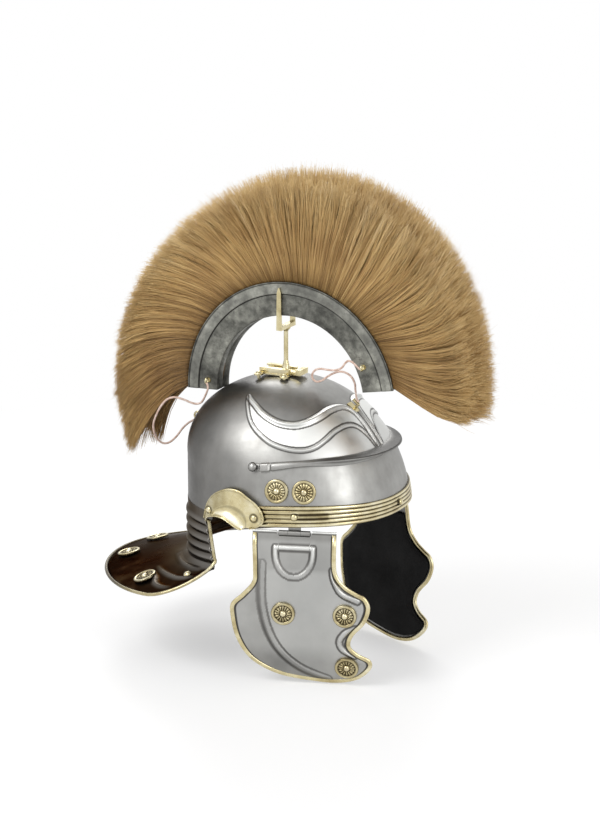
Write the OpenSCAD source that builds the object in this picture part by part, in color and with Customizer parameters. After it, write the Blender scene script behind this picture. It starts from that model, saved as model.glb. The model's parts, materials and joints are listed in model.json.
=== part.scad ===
// Iron and brass helmet with a removable horsehair crest. Millimetres, +Z up, +X to the wearer's front,
// +Y to the wearer's left. The origin is the middle of the head opening, at the height of the ears.

/* [Bowl] */
// Half length of the bowl in front of the origin
bowl_front = 111; // [104:1:118]
// Half length of the bowl behind the origin
bowl_rear = 106; // [100:1:112]
// Half width of the bowl
bowl_side = 98; // [92:1:104]
// Height of the crown above the origin
bowl_top = 124; // [118:1:130]
// Distance that the crown sits behind the origin
crown_back = 8; // [0:1:14]
// Squareness of the plan, where 2 is an ellipse
plan_power = 2.2; // [2:0.05:2.5]
// Height of the straight wall at the back of the head
rear_wall = 50; // [40:1:58]
// Thickness of the steel sheet
sheet = 1.4; // [1:0.1:2]
// Height of the rim beside the ears
rim_low = -2; // [-4:0.5:0]
// Rise of the rim from the ears to the forehead
rim_rise = 5.6; // [4:0.2:8]

/* [Ears, nape and neck guard] */
// Angle of the middle of the ear opening from straight ahead
ear_angle = 104; // [102:1:106]
// Height of the top of the ear opening
ear_top = 14; // [10:1:18]
// Width of the brass plate round the ear opening
ear_plate_w = 17; // [12:1:20]
// Reach of the outward lip of the ear plate
ear_lip = 8; // [4:1:9]
// Pitch of the five ridges on the nape
ridge_pitch = 10; // [8:0.5:11]
// Depth of the ridges on the nape
ridge_h = 1.8; // [1:0.1:2.5]
// Distance from the origin to the rear edge of the neck guard
guard_reach = 200; // [180:1:205]
// Half width of the neck guard
guard_side = 128; // [116:1:132]
// Drop of the rear edge of the neck guard below the origin
guard_drop = 80; // [75:1:90]

/* [Brow] */
// Height of the ribbed brass band on the brow
band_h = 21; // [17:1:23]
// Number of ribs on the band
band_ribs = 5; // [3:1:6]
// Thickness of the band
band_t = 1.6; // [1.2:0.1:2.2]
// Height of the brow guard at its ends
peak_z_side = 56; // [52:1:60]
// Height of the brow guard at the forehead
peak_z_front = 64; // [60:1:68]
// Reach of the brow guard in front of the forehead
peak_reach = 13.5; // [10:0.5:20]
// Diameter of the brass rosettes
rosette_d = 23; // [18:0.5:25]

/* [Cheek guards] */
// Forward place of the middle of the cheek hinge
hinge_x = 45; // [40:1:50]
// Height of the hinge axis
hinge_z = -4; // [-8:0.5:-4]
// Angle that the hinge turns towards the centre line
hinge_toe = 20; // [16:1:24]
// Length of the hinge barrel
hinge_len = 30; // [24:1:34]
// Diameter of the hinge pin
pin_d = 2.2; // [1.8:0.1:2.6]
// Wall of the hinge knuckles
knuckle_wall = 1.4; // [1.2:0.1:1.8]
// Radius of the bow of the cheek guard
cheek_bow = 280; // [240:10:400]
// Width of the brass piping on the cheek guards
piping_w = 4.4; // [3.5:0.1:5]
// Thickness of the brass piping
piping_t = 3.2; // [2.6:0.1:4]
// Thickness of the leather lining
lining_t = 1.6; // [1.2:0.1:2.5]

/* [Crest] */
// Height of the centre of the crest arch
crest_z = 105; // [103:1:110]
// Distance from the origin back to the centre of the crest arch
crest_back = 2; // [0:1:4]
// Radius of the arch's inner face
crest_in = 80; // [76:1:82]
// Radius of the arch's outer edge
crest_out = 113; // [108:1:118]
// Width of the crest box
crest_w = 24; // [20:1:28]
// Angle of the box's front foot above level
crest_front_angle = 10; // [8:1:16]
// Angle of the box's rear foot, from straight ahead
crest_rear_angle = 182; // [178:1:182]
// Thickness of the box's sheet
box_t = 1.2; // [0.8:0.1:1.6]
// Tip radius of the hair at its shortest
hair_out = 202; // [180:1:210]
// Extra length of the hair towards the front
hair_front = 34; // [20:1:40]
// Half width of the hair at its tips
hair_spread = 26; // [18:1:30]

/* [Crest holder] */
// Forward place of the fork rod
fork_x = -12; // [-16:1:-8]
// Height of the fork's yoke above the origin
yoke_z = 170; // [164:1:171]
// Height of the prong tips above the origin
prong_z = 212; // [204:1:215]
// Diameter of the fork rod
rod_d = 4.4; // [4:0.2:6]
// Length of the slider
slider_len = 36; // [30:1:44]
// Width of the slider
slider_w = 16; // [14:1:20]

/* [Hidden] */

// Gap between curved faces that lie against each other
seat = 0.3;
// Radial gap of a hinge pin and of a rivet in its hole
pin_gap = 0.05;
rivet_gap = 0.15;
rivet_d = 3;
rivet_head = 7;
$fn = 48;

// Angles of the bowl's grid columns, closer together round the ears
half_angles = concat([for (a = [0 : 6 : 84]) a], [for (a = [88 : 4 : 120]) a], [for (a = [126 : 6 : 180]) a]);
last = len(half_angles) - 1;
columns = concat([for (i = [last : -1 : 1]) -half_angles[i]], half_angles);
ear_half = 12;
nape_angle = 120;

steel = [0.62, 0.62, 0.62];
brass = [0.80, 0.70, 0.42];
zinc = [0.52, 0.54, 0.55];
leather = [0.12, 0.11, 0.10];
hair = [0.76, 0.62, 0.38];
thong = [0.78, 0.60, 0.52];

function unit(v) = v / norm(v);
function mix(a, b, s) = a + (b - a) * s;
function ramp(s) = let(c = max(0, min(1, s))) c * c * (3 - 2 * c);

// The bowl's outer skin: plan radius, top of the straight wall, point and normal at an angle and a height
function plan_r(a) = pow(pow(abs(cos(a)) / (cos(a) > 0 ? bowl_front : bowl_rear), plan_power)
    + pow(abs(sin(a)) / bowl_side, plan_power), -1 / plan_power);
function wall_z(a) = rear_wall * (1 - cos(a)) / 2;
function skin_at(a, z) =
    let(s = min(1, max(0, (z - wall_z(a)) / (bowl_top - wall_z(a)))), k = sqrt(1 - s * s), r = plan_r(a))
    [r * cos(a) * k - crown_back * s, r * sin(a) * k, z];
function skin_normal(a, z) =
    unit(cross(skin_at(a + 1, z) - skin_at(a - 1, z), skin_at(a, z + 0.4) - skin_at(a, z - 0.4)));
function skin(a, z, off = 0) = skin_at(a, z) + off * skin_normal(a, z);

// Height of the bowl's lower edge, with the arch over each ear
function brow_z(a) = let(c = max(0, cos(a))) rim_low + rim_rise * c * (2.2 - 1.2 * c);
function rim_z(a) = let(e = (abs(a) - ear_angle) / ear_half, low = rim_low - 2)
    abs(e) < 1 ? mix(low, ear_top, sqrt(1 - e * e)) : abs(a) < ear_angle ? brow_z(a) : low;

function flat(rows) = [for (row = rows) each row];
function quad(a, b, c, d) = [[a, b, c], [a, c, d]];

// Solid between two grids of points with rows upwards and columns anticlockwise, seen from above.
// A closed slab joins its last column to its first.
module slab(outer, inner, closed = false) {
    m = len(outer);
    n = len(outer[0]);
    k = m * n;
    last_j = closed ? n - 1 : n - 2;
    faces = concat(
        [for (i = [0 : m - 2], j = [0 : last_j]) let(p = i * n + j, q = i * n + (j + 1) % n)
            each concat(quad(p, p + n, q + n, q), quad(k + q, k + q + n, k + p + n, k + p))],
        [for (j = [0 : last_j]) let(q = (j + 1) % n, t = (m - 1) * n)
            each concat(quad(j, q, k + q, k + j), quad(t + q, t + j, k + t + j, k + t + q))],
        closed ? [] : [for (i = [0 : m - 2]) let(p = i * n, q = i * n + n - 1)
            each concat(quad(p + n, p, k + p, k + p + n), quad(q, q + n, k + q + n, k + q))]);
    polyhedron(concat(flat(outer), flat(inner)), faces);
}

// Solid swept through rings of points, each ring anticlockwise when seen from the start of the path
module sweep_rings(rings) {
    m = len(rings);
    n = len(rings[0]);
    faces = concat(
        [[for (j = [n - 1 : -1 : 0]) j]],
        [for (i = [0 : m - 2], j = [0 : n - 1]) let(p = i * n + j, q = i * n + (j + 1) % n)
            each quad(q, q + n, p + n, p)],
        [[for (j = [0 : n - 1]) (m - 1) * n + j]]);
    polyhedron(flat(rings), faces);
}

// Round tube of n sides along a path
function tube_rings(path, d, n) = let(m = len(path) - 1)
    [for (i = [0 : m]) let(
        w = unit(path[min(m, i + 1)] - path[max(0, i - 1)]),
        u = unit(cross(abs(w.z) > 0.9 ? [0, 1, 0] : [0, 0, 1], w)),
        v = cross(w, u))
        [for (j = [0 : n - 1]) path[i] + d / 2 * (cos(-360 * j / n) * u + sin(-360 * j / n) * v)]];

// Smooth curve through points, with steps pieces between neighbours
function pick(p, i, ring) = ring ? p[(i + len(p)) % len(p)] : p[max(0, min(len(p) - 1, i))];
function spline(p, steps, ring = false) = let(n = len(p) - (ring ? 0 : 1))
    concat([for (i = [0 : n - 1], k = [0 : steps - 1]) let(
        s = k / steps, a = pick(p, i - 1, ring), b = pick(p, i, ring),
        c = pick(p, i + 1, ring), d = pick(p, i + 2, ring))
        0.5 * (2 * b + (c - a) * s + (2 * a - 5 * b + 4 * c - d) * s * s
            + (3 * b - a - 3 * c + d) * s * s * s)], ring ? [] : [p[len(p) - 1]]);

// Puts a piece on the bowl, with its +Z along the skin's normal and its +Y up the skin
module on_skin(a, z, off = 0) {
    n = skin_normal(a, z);
    u = unit(cross([0, 0, 1], n));
    v = cross(n, u);
    p = skin(a, z, off);
    multmatrix([[u.x, v.x, n.x, p.x], [u.y, v.y, n.y, p.y], [u.z, v.z, n.z, p.z], [0, 0, 0, 1]]) children();
}

module left_side() mirror([0, 1, 0]) children();
module both_sides() {
    children();
    left_side() children();
}

// Domed rivet: its head stands on the plate at z = 0 and its shank goes down
module rivet(depth, head = rivet_head, d = rivet_d) {
    cap = head / 2;
    high = head * 0.3;
    r = (cap * cap + high * high) / (2 * high);
    intersection() {
        translate([0, 0, high - r]) sphere(r);
        cylinder(r = cap, h = high);
    }
    translate([0, 0, -depth]) cylinder(d = d, h = depth + high / 2);
}
module rivet_hole(depth = 12) translate([0, 0, -depth / 2]) cylinder(d = rivet_d + 2 * rivet_gap, h = depth);

// Rosette: a disc with a raised rim, sixteen petals and a domed rivet in the middle
petals = 16;
rosette_t = 1;
function petal_r(a) = rosette_d * (0.36 + 0.035 * cos(petals * a));
module rosette(depth) {
    cylinder(d = rosette_d, h = rosette_t);
    rotate_extrude() translate([rosette_d / 2 - 1.2, rosette_t]) circle(r = 1.1, $fn = 24);
    linear_extrude(rosette_t + 0.8)
        polygon([for (a = [0 : 360 / petals / 6 : 359]) petal_r(a) * [cos(a), sin(a)]]);
    translate([0, 0, rosette_t + 0.8]) rivet(depth + rosette_t + 0.8, head = rosette_d * 0.3);
}
rosette_places = [[-72.5, 36], [-57.5, 36]];

// Middle of the cheek hinge, just inside the bowl's wall
hinge_y = bowl_side * pow(1 - pow(hinge_x / bowl_front, plan_power), 1 / plan_power) - sheet - 0.4;
hinge_angle = atan(hinge_y / hinge_x);
band_rivet_angles = [-hinge_angle, 0, hinge_angle];

/* Bowl */
dome_rows = 14;
dome_inner_rows = 7;
function dome_row(k, rows, off) = [for (a = columns) let(z0 = rim_z(a), z1 = bowl_top - 0.4)
    skin(a, mix(z0, z1, sin(90 * k / rows)), off)];
module dome() {
    outer = [for (k = [0 : dome_rows]) dome_row(k, dome_rows, 0)];
    inner = [for (k = [0 : dome_inner_rows]) dome_row(k, dome_inner_rows, -sheet)];
    n = len(columns) - 1;
    o = len(outer);
    q = len(inner);
    ring = [for (row = concat(outer, inner)) [for (j = [0 : n - 1]) row[j]]];
    crown = [[-crown_back, 0, bowl_top], [-crown_back, 0, bowl_top - sheet]];
    k = (o + q) * n;
    faces = concat(
        [for (i = [0 : o - 2], j = [0 : n - 1]) let(p = i * n + j, r = i * n + (j + 1) % n)
            each quad(p, p + n, r + n, r)],
        [for (i = [o : o + q - 2], j = [0 : n - 1]) let(p = i * n + j, r = i * n + (j + 1) % n)
            each quad(r, r + n, p + n, p)],
        [for (j = [0 : n - 1]) let(r = (j + 1) % n) each quad(j, r, o * n + r, o * n + j)],
        [for (j = [0 : n - 1]) let(p = (o - 1) * n) [p + j, k, p + (j + 1) % n]],
        [for (j = [0 : n - 1]) let(p = (o + q - 1) * n) [p + j, p + (j + 1) % n, k + 1]]);
    polyhedron(concat(flat(ring), crown), faces);
}

// Nape and neck guard: ridged wall, then a sheet that flares out to the guard's edge
nape_columns = [for (a = [nape_angle : 6 : 360 - nape_angle]) a];
wall_steps = 10;
// The nape stands proud of the dome on both faces, so that the two join as one sheet
nape_proud = 0.3;
nape_t = sheet + 2 * nape_proud;
// Share by which the nape's front edges lean forwards on their way down
nape_lean = 0.09;
// Plan centre of the guard's oval edge, behind the origin, and the angle from the rear where the edge turns in
guard_mid = 50;
guard_turn = 46;
function side_share(a) = pow(abs(180 - a) / (180 - nape_angle), 2);
function nape_low(a) = -(5 * ridge_pitch + 4) + 7 * side_share(a);
function leant(a, s) = 180 + (a - 180) * (1 + nape_lean * s);
function wall_at(a, s, d, z) = let(b = leant(a, s), r = plan_r(b) + d) [r * cos(b), r * sin(b), z];
function edge_full(a) = let(b = 180 + (a - 180) * 92 / (180 - nape_angle))
    [-guard_mid + (guard_reach - guard_mid) * cos(b), guard_side * sin(b),
        -guard_drop + 17 * pow(1 + cos(b), 2) - 6 * pow(sin(b), 2)];
function wall_foot(a) = wall_at(a, 1, 0, nape_low(a));
function edge_at(a) = let(s = max(0, abs(180 - a) - guard_turn) / (180 - nape_angle - guard_turn))
    mix(wall_foot(a), edge_full(a), 1 - 0.9 * s * s);
flare = [0.05, 0.12, 0.35, 0.6, 0.8, 1];
function flare_at(a, q) = let(f = wall_foot(a), e = edge_at(a), p = mix(f, e, q))
    [p.x, p.y, q < 0.1 ? f.z - 4 : mix(f.z - 5, e.z, q)];
function nape_outer(a) = concat(
    [for (k = [len(flare) - 1 : -1 : 0]) flare_at(a, flare[k])],
    [for (k = [wall_steps : -1 : 0]) let(s = k / wall_steps)
        wall_at(a, s, nape_proud + (k % 2 == 1 ? ridge_h : 0), mix(-4, nape_low(a), s))],
    [wall_at(a, 0, nape_proud, 3.6)]);
function nape_inner(a) = let(t = nape_t, o = nape_outer(a), n = len(flare), b = leant(a, 0.5))
    [for (k = [0 : len(o) - 1]) k < n - 1 ? o[k] - [0, 0, t]
        : k == n - 1 ? o[k] - t * [0.7 * cos(b), 0.7 * sin(b), 0.7]
    : o[k] - [t * cos(b), t * sin(b), k == len(o) - 1 ? 0.4 : 0]];
function turned(grid) = [for (i = [0 : len(grid[0]) - 1]) [for (c = grid) c[i]]];
module nape()
    slab(turned([for (a = nape_columns) nape_outer(a)]), turned([for (a = nape_columns) nape_inner(a)]));

// Embossed eyebrows: an upper and a lower ridge on each side, as angles and heights on the bowl
upper_brow = [[-113, 112], [-96, 106], [-80, 99], [-67, 95], [-56, 94], [-44, 96], [-30, 100], [-17, 100],
    [-9, 92], [-6, 76]];
lower_brow = [[-112, 110], [-95, 94], [-85, 84], [-74, 76], [-62, 73], [-51, 74], [-41, 79], [-30, 86],
    [-21, 88], [-14, 84], [-9, 70]];
module brow_ridge(points, wide, high) {
    path = spline(points, 3);
    m = len(path) - 1;
    rings = [for (i = [0 : m]) let(
        p = path[i], n = skin_normal(p.x, p.y), s = sin(180 * (i + 0.6) / (m + 1.2)),
        w = unit(skin(path[min(m, i + 1)].x, path[min(m, i + 1)].y)
            - skin(path[max(0, i - 1)].x, path[max(0, i - 1)].y)),
        v = cross(n, w), c = skin(p.x, p.y), half = wide / 2 * (0.35 + 0.65 * s))
        [c - v * half - n * 0.8, c - v * half * 0.6 + n * high * 0.7 * s, c + n * high * (0.2 + 0.8 * s),
            c + v * half * 0.6 + n * high * 0.7 * s, c + v * half - n * 0.8]];
    sweep_rings(rings);
}

module bowl() color(steel) difference() {
    union() {
        dome();
        nape();
        both_sides() {
            brow_ridge(upper_brow, 9, 3);
            brow_ridge(lower_brow, 5, 2);
        }
    }
    both_sides() {
        for (p = rosette_places) on_skin(p[0], p[1]) rivet_hole();
        on_skin(peak_rivet[0], peak_rivet[1]) rivet_hole();
        on_skin(ear_rivets[0][0], ear_rivets[0][1]) rivet_hole();
        on_skin(ear_rivets[1][0], ear_rivets[1][1]) rivet_hole();
        on_skin(band_rivet_angles[0], band_mid(band_rivet_angles[0])) rivet_hole();
    }
    on_skin(0, band_mid(0)) rivet_hole();
    for (x = holder_rivet_x, y = [-holder_rivet_y, holder_rivet_y]) translate([x, y, bowl_top]) rivet_hole(30);
}

/* Leather liner: a band inside the bowl, between the first and second rows of its inner face */
liner_t = 2;
module leather_liner() color(leather) {
    grid = function (off) [for (k = [1, 2]) let(row = dome_row(k, dome_inner_rows, off))
        [for (j = [0 : len(row) - 2]) row[j]]];
    slab(grid(-sheet - 3 * seat), grid(-sheet - 3 * seat - liner_t), closed = true);
}

/* Brow band */
band_start = 82;
// The band narrows over the forehead
function band_high(a) = band_h * (1 - 0.2 * pow(max(0, cos(a)), 4));
function band_mid(a) = brow_z(a) + band_high(a) / 2;
module brow_band() color(brass) difference() {
    angles = [for (a = columns) if (abs(a) <= band_start + 2) a];
    rows = 2 * band_ribs + 1;
    bump = function (i) i % 2 == 1 ? 0.9 : 0;
    slab([for (i = [0 : rows - 1]) [for (a = angles)
            skin(a, brow_z(a) + band_high(a) * i / (rows - 1), seat + band_t + bump(i))]],
        [for (i = [0 : rows - 1]) [for (a = angles) skin(a, brow_z(a) + band_high(a) * i / (rows - 1), seat)]]);
    for (a = band_rivet_angles) on_skin(a, band_mid(a)) rivet_hole();
}
module brow_band_rivets() color(brass)
    for (a = band_rivet_angles) on_skin(a, band_mid(a), seat + band_t + 1)
        rivet(seat + band_t + 1 + sheet + (a == 0 ? 1 : 0.6));

/* Brow guard: a bar round the brow that widens to a peak in front */
peak_end = 83;
end_block = [9.4, 8, 3.4];
peak_rivet = [-peak_end - 3.5, peak_z_side];
function peak_z(a) = mix(peak_z_side, peak_z_front, ramp(1.3 * cos(a)));
function peak_out(a) = mix(2.4, peak_reach, pow(max(0, cos(a)), 1.5));
module brow_guard() color(steel) {
    angles = [for (a = [-peak_end - 6 : 4 : peak_end + 6]) a];
    rings = [for (a = angles) let(z = peak_z(a), d = peak_out(a), n = [cos(a), sin(a), 0], up = [0, 0, 1],
        f = max(0, cos(a)), low = skin(a, z - mix(4, 5, f), seat), mid = skin(a, z, seat),
        top = skin(a, z + mix(4, 2.6, f), seat), q = 1.8)
        [low, low + q * n, mid + d * n + 0.6 * up, mid + d * n + (0.6 + q) * up, top + q * n + 0.2 * up, top]];
    difference() {
        union() {
            sweep_rings(rings);
            both_sides() on_skin(3.3 - peak_end, peak_z_side)
                translate([-end_block.x / 2, -end_block.y / 2, seat + 0.4])
                cube(end_block);
        }
        both_sides() on_skin(peak_rivet[0], peak_rivet[1]) rivet_hole();
    }
}
module brow_guard_rivets() color(steel) both_sides()
    on_skin(peak_rivet[0], peak_rivet[1], seat + 3.5) rivet(seat + 3.5 + sheet + 0.2, head = 9);

/* Ear guards: a brass plate over the ear opening, with a lip that turns outwards */
// Plate's rim and its bend over the opening, as angles and heights on the bowl from the rear end forwards
ear_rim = [[-119.5, -2], [-116.5, 14.8], [-111, 26], [-102.2, 33.5], [-94.2, 33.2], [-88.5, 28], [-83.2, 22],
    [-80, 13.5], [-79.6, 6], [-82.5, 0.8], [-88, -2.2]];
ear_bend = [[-118.3, -3.5], [-115.5, 3], [-112, 8.5], [-107.5, 13.8], [-102.5, 17], [-98.5, 17.2], [-95, 15.8],
    [-92.4, 13], [-90.6, 9], [-90, 4], [-90.4, -2]];
// Lip's free edge, with the share of the lip's full reach there
ear_edge = [[-118.5, -4.5, 0.05], [-116.5, -0.5, 0.25], [-113.5, 2.8, 0.55], [-110, 5.2, 0.8], [-106.5, 6.6, 0.95],
    [-102.5, 6.3, 1], [-99.2, 4, 1], [-96, 1, 1], [-93.8, -1, 0.95], [-92.5, -2.2, 0.8], [-91.8, -3, 0.5]];
ear_rivets = [[-85.5, 8.5], [-115.3, 7.5]];
ear_plate_t = 1.2;
ear_rise = seat + band_t + 1.2;
module ear_guard() difference() {
    rim = spline(ear_rim, 2);
    bend = spline(ear_bend, 2);
    edge = spline(ear_edge, 2);
    last = len(bend) - 1;
    wide = ear_plate_w / 17;
    plate = function (q, lift) [for (i = [0 : last]) let(p = mix(bend[i], rim[i], q * wide))
        skin(p.x, p.y, ear_rise + lift)];
    lip = function (turn, lift) [for (i = [0 : last]) let(p = bend[i], e = edge[i], s = sin(turn),
        q = [mix(p.x, e.x, s), mix(p.y, e.y, s)])
        skin(q.x, q.y, ear_rise + lift + ear_lip * e.z * (1 - cos(turn)))];
    grid = function (lift) [plate(1, lift), plate(0.5, lift), plate(0, lift),
        lip(30, lift), lip(60, lift), lip(90, lift)];
    slab(grid(ear_plate_t), grid(0));
    for (p = ear_rivets) on_skin(p[0], p[1]) rivet_hole();
}
module ear_guard_right() color(brass) ear_guard();
module ear_guard_left() color(brass) left_side() ear_guard();
module ear_guard_rivets() color(brass) both_sides()
    for (p = ear_rivets) on_skin(p[0], p[1], ear_rise + ear_plate_t) rivet(ear_rise + ear_plate_t + sheet + 0.2);

/* Brass edging along the neck guard and up the nape's front edges */
edging_w = 3.4;
edging_t = 3.2;
// Room between the edging's top end and the opening of the ear
edging_top = -5;
module neck_guard_edging() color(brass) {
    rings = [for (a = nape_columns) let(e = edge_at(a), f = wall_foot(a),
        out = unit([e.x - f.x, e.y - f.y, 0]), up = [0, 0, 1], c = e + seat * out - nape_t / 2 * up)
        [c - edging_t / 2 * up, c - edging_t / 2 * up + edging_w * 0.6 * out, c + edging_w * out,
            c + edging_t / 2 * up + edging_w * 0.6 * out, c + edging_t / 2 * up]];
    sweep_rings(rings);
    both_sides() nape_strip();
}
module nape_strip() {
    a = 360 - nape_angle;
    low = nape_low(a) - 1;
    h = edging_t / 2;
    sweep_rings([for (k = [0 : 4]) let(z = mix(low, edging_top, k / 4), s = (z + 4) / (nape_low(a) + 4),
        b = leant(a, s), c = wall_at(a, s, nape_proud - nape_t / 2, z), n = [cos(b), sin(b), 0], w = [-sin(b), cos(b), 0])
        [c - h * n + seat * w, c - h * n + (seat + 0.6 * edging_w) * w, c + (seat + edging_w) * w,
            c + h * n + (seat + 0.6 * edging_w) * w, c + h * n + seat * w]]);
}
edging_rivet_angle = 130;
// Puts a piece on the neck guard, with its +Z off the sheet
module on_guard(a, q, off) {
    p = flare_at(a, q);
    w = unit(flare_at(a, q + 0.1) - p);
    n = unit(cross(w, [-sin(a), cos(a), 0]));
    up = n.z > 0 ? n : -n;
    u = unit(cross([0, 0, 1], up));
    v = cross(up, u);
    c = p + off * up;
    multmatrix([[u.x, v.x, up.x, c.x], [u.y, v.y, up.y, c.y], [u.z, v.z, up.z, c.z], [0, 0, 0, 1]]) children();
}
module edging_rivets() color(brass) for (a = [edging_rivet_angle, 360 - edging_rivet_angle])
    on_guard(a, 0.35, 1) rivet(0.1, head = 8);

/* Rosettes */
module bowl_rosettes() color(brass) both_sides()
    for (p = rosette_places) on_skin(p[0], p[1], seat + 0.2) rosette(seat + 0.2 + sheet + 0.4);
guard_rosette_places = [[144, 0.68], [171, 0.79], [189, 0.79], [216, 0.68]];
module neck_guard_rosettes() color(brass)
    for (p = guard_rosette_places) on_guard(p[0], p[1], 1.1) rosette(0);

/* Cheek hinge: +X along the axis, -Y outwards */
knuckle_r = pin_d / 2 + pin_gap + knuckle_wall;
mid_len = hinge_len * 0.4;
leaf_t = 1.2;
end_gap = 0.25;
module at_hinge() translate([hinge_x, -hinge_y, hinge_z]) rotate([0, 0, hinge_toe]) children();
module knuckle(x0, len) translate([x0, 0, 0]) rotate([0, 90, 0]) difference() {
    cylinder(r = knuckle_r, h = len);
    translate([0, 0, -1]) cylinder(d = pin_d + 2 * pin_gap, h = len + 2);
}
bowl_leaf_y = sheet / 2 + seat + 0.2;
bowl_leaf_h = brow_z(hinge_angle) - hinge_z + band_h * 0.8;
module hinge_leaf() at_hinge() difference() {
    union() {
        knuckle(-mid_len / 2, mid_len);
        translate([-mid_len / 2, bowl_leaf_y, 0]) cube([mid_len, leaf_t, bowl_leaf_h]);
    }
    translate([-mid_len, 0, 0]) rotate([0, 90, 0]) cylinder(d = pin_d + 2 * pin_gap, h = 2 * mid_len);
    translate([0, 0, band_mid(hinge_angle) - hinge_z]) rotate([90, 0, 0]) rivet_hole(20);
}
module hinge_leaf_right() color(steel) hinge_leaf();
module hinge_leaf_left() color(steel) left_side() hinge_leaf();
module hinge_pin() at_hinge() translate([-hinge_len / 2 - 0.6, 0, 0]) rotate([0, 90, 0])
    cylinder(d = pin_d, h = hinge_len + 1.2);
module hinge_pin_right() color(steel) hinge_pin();
module hinge_pin_left() color(steel) left_side() hinge_pin();

/* Cheek guards. The outline is in millimetres forward of the hinge's middle and down from its axis */
plate_top = knuckle_r + 0.4;
cheek_points = [[41, 36], [49, 48], [60, 55], [69, 60], [73, 71], [68, 86], [57, 99], [54, 110], [61, 118],
    [73, 125], [73, 135], [60, 147], [41, 152], [17, 151], [-16, 145], [-42, 130], [-56, 107], [-61, 82],
    [-60, 70], [-50, 60], [-40, 48], [-39, 36]];
cheek_top_half = 40;
cheek_mid = 60;
cheek_axis_y = sqrt(cheek_bow * cheek_bow - cheek_mid * cheek_mid);
function down(p) = [p.x, -p.y];
function cheek_shape(top) = concat([[cheek_top_half, top]],
    [for (p = spline(concat([[cheek_top_half, 12]], cheek_points, [[-cheek_top_half, 12]]), 3)) down(p)],
    [[-cheek_top_half, top]]);
// Top of the piping below the axis, and height over the axis of the plate's top strips beside the hinge
piping_top = 0.6;
strip_rise = 2.2;
strip_start = hinge_len / 2 + 1.6;
cheek_outline = cheek_shape(-piping_top);
// Outline moved inwards by a distance, with mitred corners
function inset(p, d) = let(n = len(p)) [for (i = [0 : n - 1]) let(
    a = unit(p[i] - p[(i + n - 1) % n]), b = unit(p[(i + 1) % n] - p[i]), w = unit(a + b))
    p[i] + d / max(0.6, w * a) * [w.y, -w.x]];
plate_gap = 0.1;
strip_in = cheek_top_half - piping_w - plate_gap;
cheek_plate = inset(cheek_shape(-plate_top + piping_w + plate_gap), piping_w + plate_gap);
module cheek_slice(outline, low, high) intersection() {
    translate([0, cheek_axis_y, -cheek_mid]) rotate([0, 90, 0]) difference() {
        cylinder(r = cheek_bow + high, h = 200, center = true);
        cylinder(r = cheek_bow + low, h = 202, center = true);
    }
    rotate([90, 0, 0]) linear_extrude(60, center = true) polygon(outline);
}
module on_cheek(x, down_z, off = 0) translate([0, cheek_axis_y, -cheek_mid])
    rotate([asin((down_z - cheek_mid) / cheek_bow), 0, 0]) translate([x, -cheek_bow - off, 0])
    rotate([90, 0, 0]) children();
cheek_t = 1.2;
cheek_rosettes = [[-10, 78], [49, 78], [50, 133]];
cheek_leaf_h = 17;
cheek_leaf_rivets = [[-10, 8], [10, 8]];
// Raised D on the upper part of the guard
d_half = 20;
d_top = 12;
d_deep = 32;
d_wide = 4;
function d_outline(g) = concat([[d_half - g, -d_top - g], [-d_half + g, -d_top - g]],
    [for (a = [180 : 15 : 360]) [(d_half - g) * cos(a), -d_top - 8 + (d_deep - 8 - g) * sin(a)]]);
// Long curved ridge down the rear of the guard, and the hollow's edge on its front
function ridge_outline(p, w) = let(c = spline(p, 4), m = len(c) - 1,
    side = [for (i = [0 : m]) let(t = unit(c[min(m, i + 1)] - c[max(0, i - 1)]),
        s = w / 2 * sqrt(sin(180 * (i + 0.3) / (m + 0.6)))) s * [t.y, -t.x]])
    concat([for (i = [0 : m]) down(c[i] + side[i])], [for (i = [m : -1 : 0]) down(c[i] - side[i])]);
rear_ridge = [[-31, 34], [-31, 66], [-25, 96], [-13, 119], [6, 136], [31, 147]];
front_ridge = [[44, 96], [41, 104], [43, 112], [51, 118]];
ridge_out = 1.6;
module cheek_guard() at_hinge() difference() {
    union() {
        cheek_slice(cheek_plate, -cheek_t, 0);
        for (s = [-1, 1]) cheek_slice([[s * strip_start, strip_rise], [s * cheek_top_half, strip_rise],
            [s * cheek_top_half, 0], [s * strip_in, 0], [s * strip_in, -plate_top - 1], [s * strip_start, -plate_top - 1]],
            -cheek_t, 0);
        difference() {
            cheek_slice(d_outline(0), -0.4, ridge_out);
            cheek_slice(d_outline(d_wide), -2, ridge_out + 2);
        }
        cheek_slice(ridge_outline(rear_ridge, 9), -0.4, ridge_out);
        cheek_slice(ridge_outline(front_ridge, 5), -0.4, ridge_out);
    }
    for (p = concat(cheek_rosettes, cheek_leaf_rivets)) on_cheek(p[0], p[1]) rivet_hole();
}
module cheek_guard_right() color(steel) cheek_guard();
module cheek_guard_left() color(steel) left_side() cheek_guard();

module cheek_piping() at_hinge() difference() {
    cheek_slice(cheek_outline, -cheek_t / 2 - piping_t / 2, -cheek_t / 2 + piping_t / 2);
    cheek_slice(inset(cheek_outline, piping_w), -5, 5);
    translate([0, 0, -piping_top]) cube([2 * (cheek_top_half - piping_w), 40, 2 * piping_w + 1], center = true);
}
module cheek_piping_right() color(brass) cheek_piping();
module cheek_piping_left() color(brass) left_side() cheek_piping();

lining_top = cheek_leaf_h + plate_top + 2;
module cheek_lining() at_hinge() difference() {
    cheek_slice(inset(cheek_outline, piping_w + 1.2), -cheek_t - seat - lining_t, -cheek_t - seat);
    translate([0, 0, -lining_top / 2]) cube([2 * cheek_top_half + 4, 40, lining_top], center = true);
    for (p = cheek_rosettes) on_cheek(p[0], p[1]) cylinder(d = rivet_d + 4, h = 20, center = true);
}
module cheek_lining_right() color(leather) cheek_lining();
module cheek_lining_left() color(leather) left_side() cheek_lining();

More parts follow.
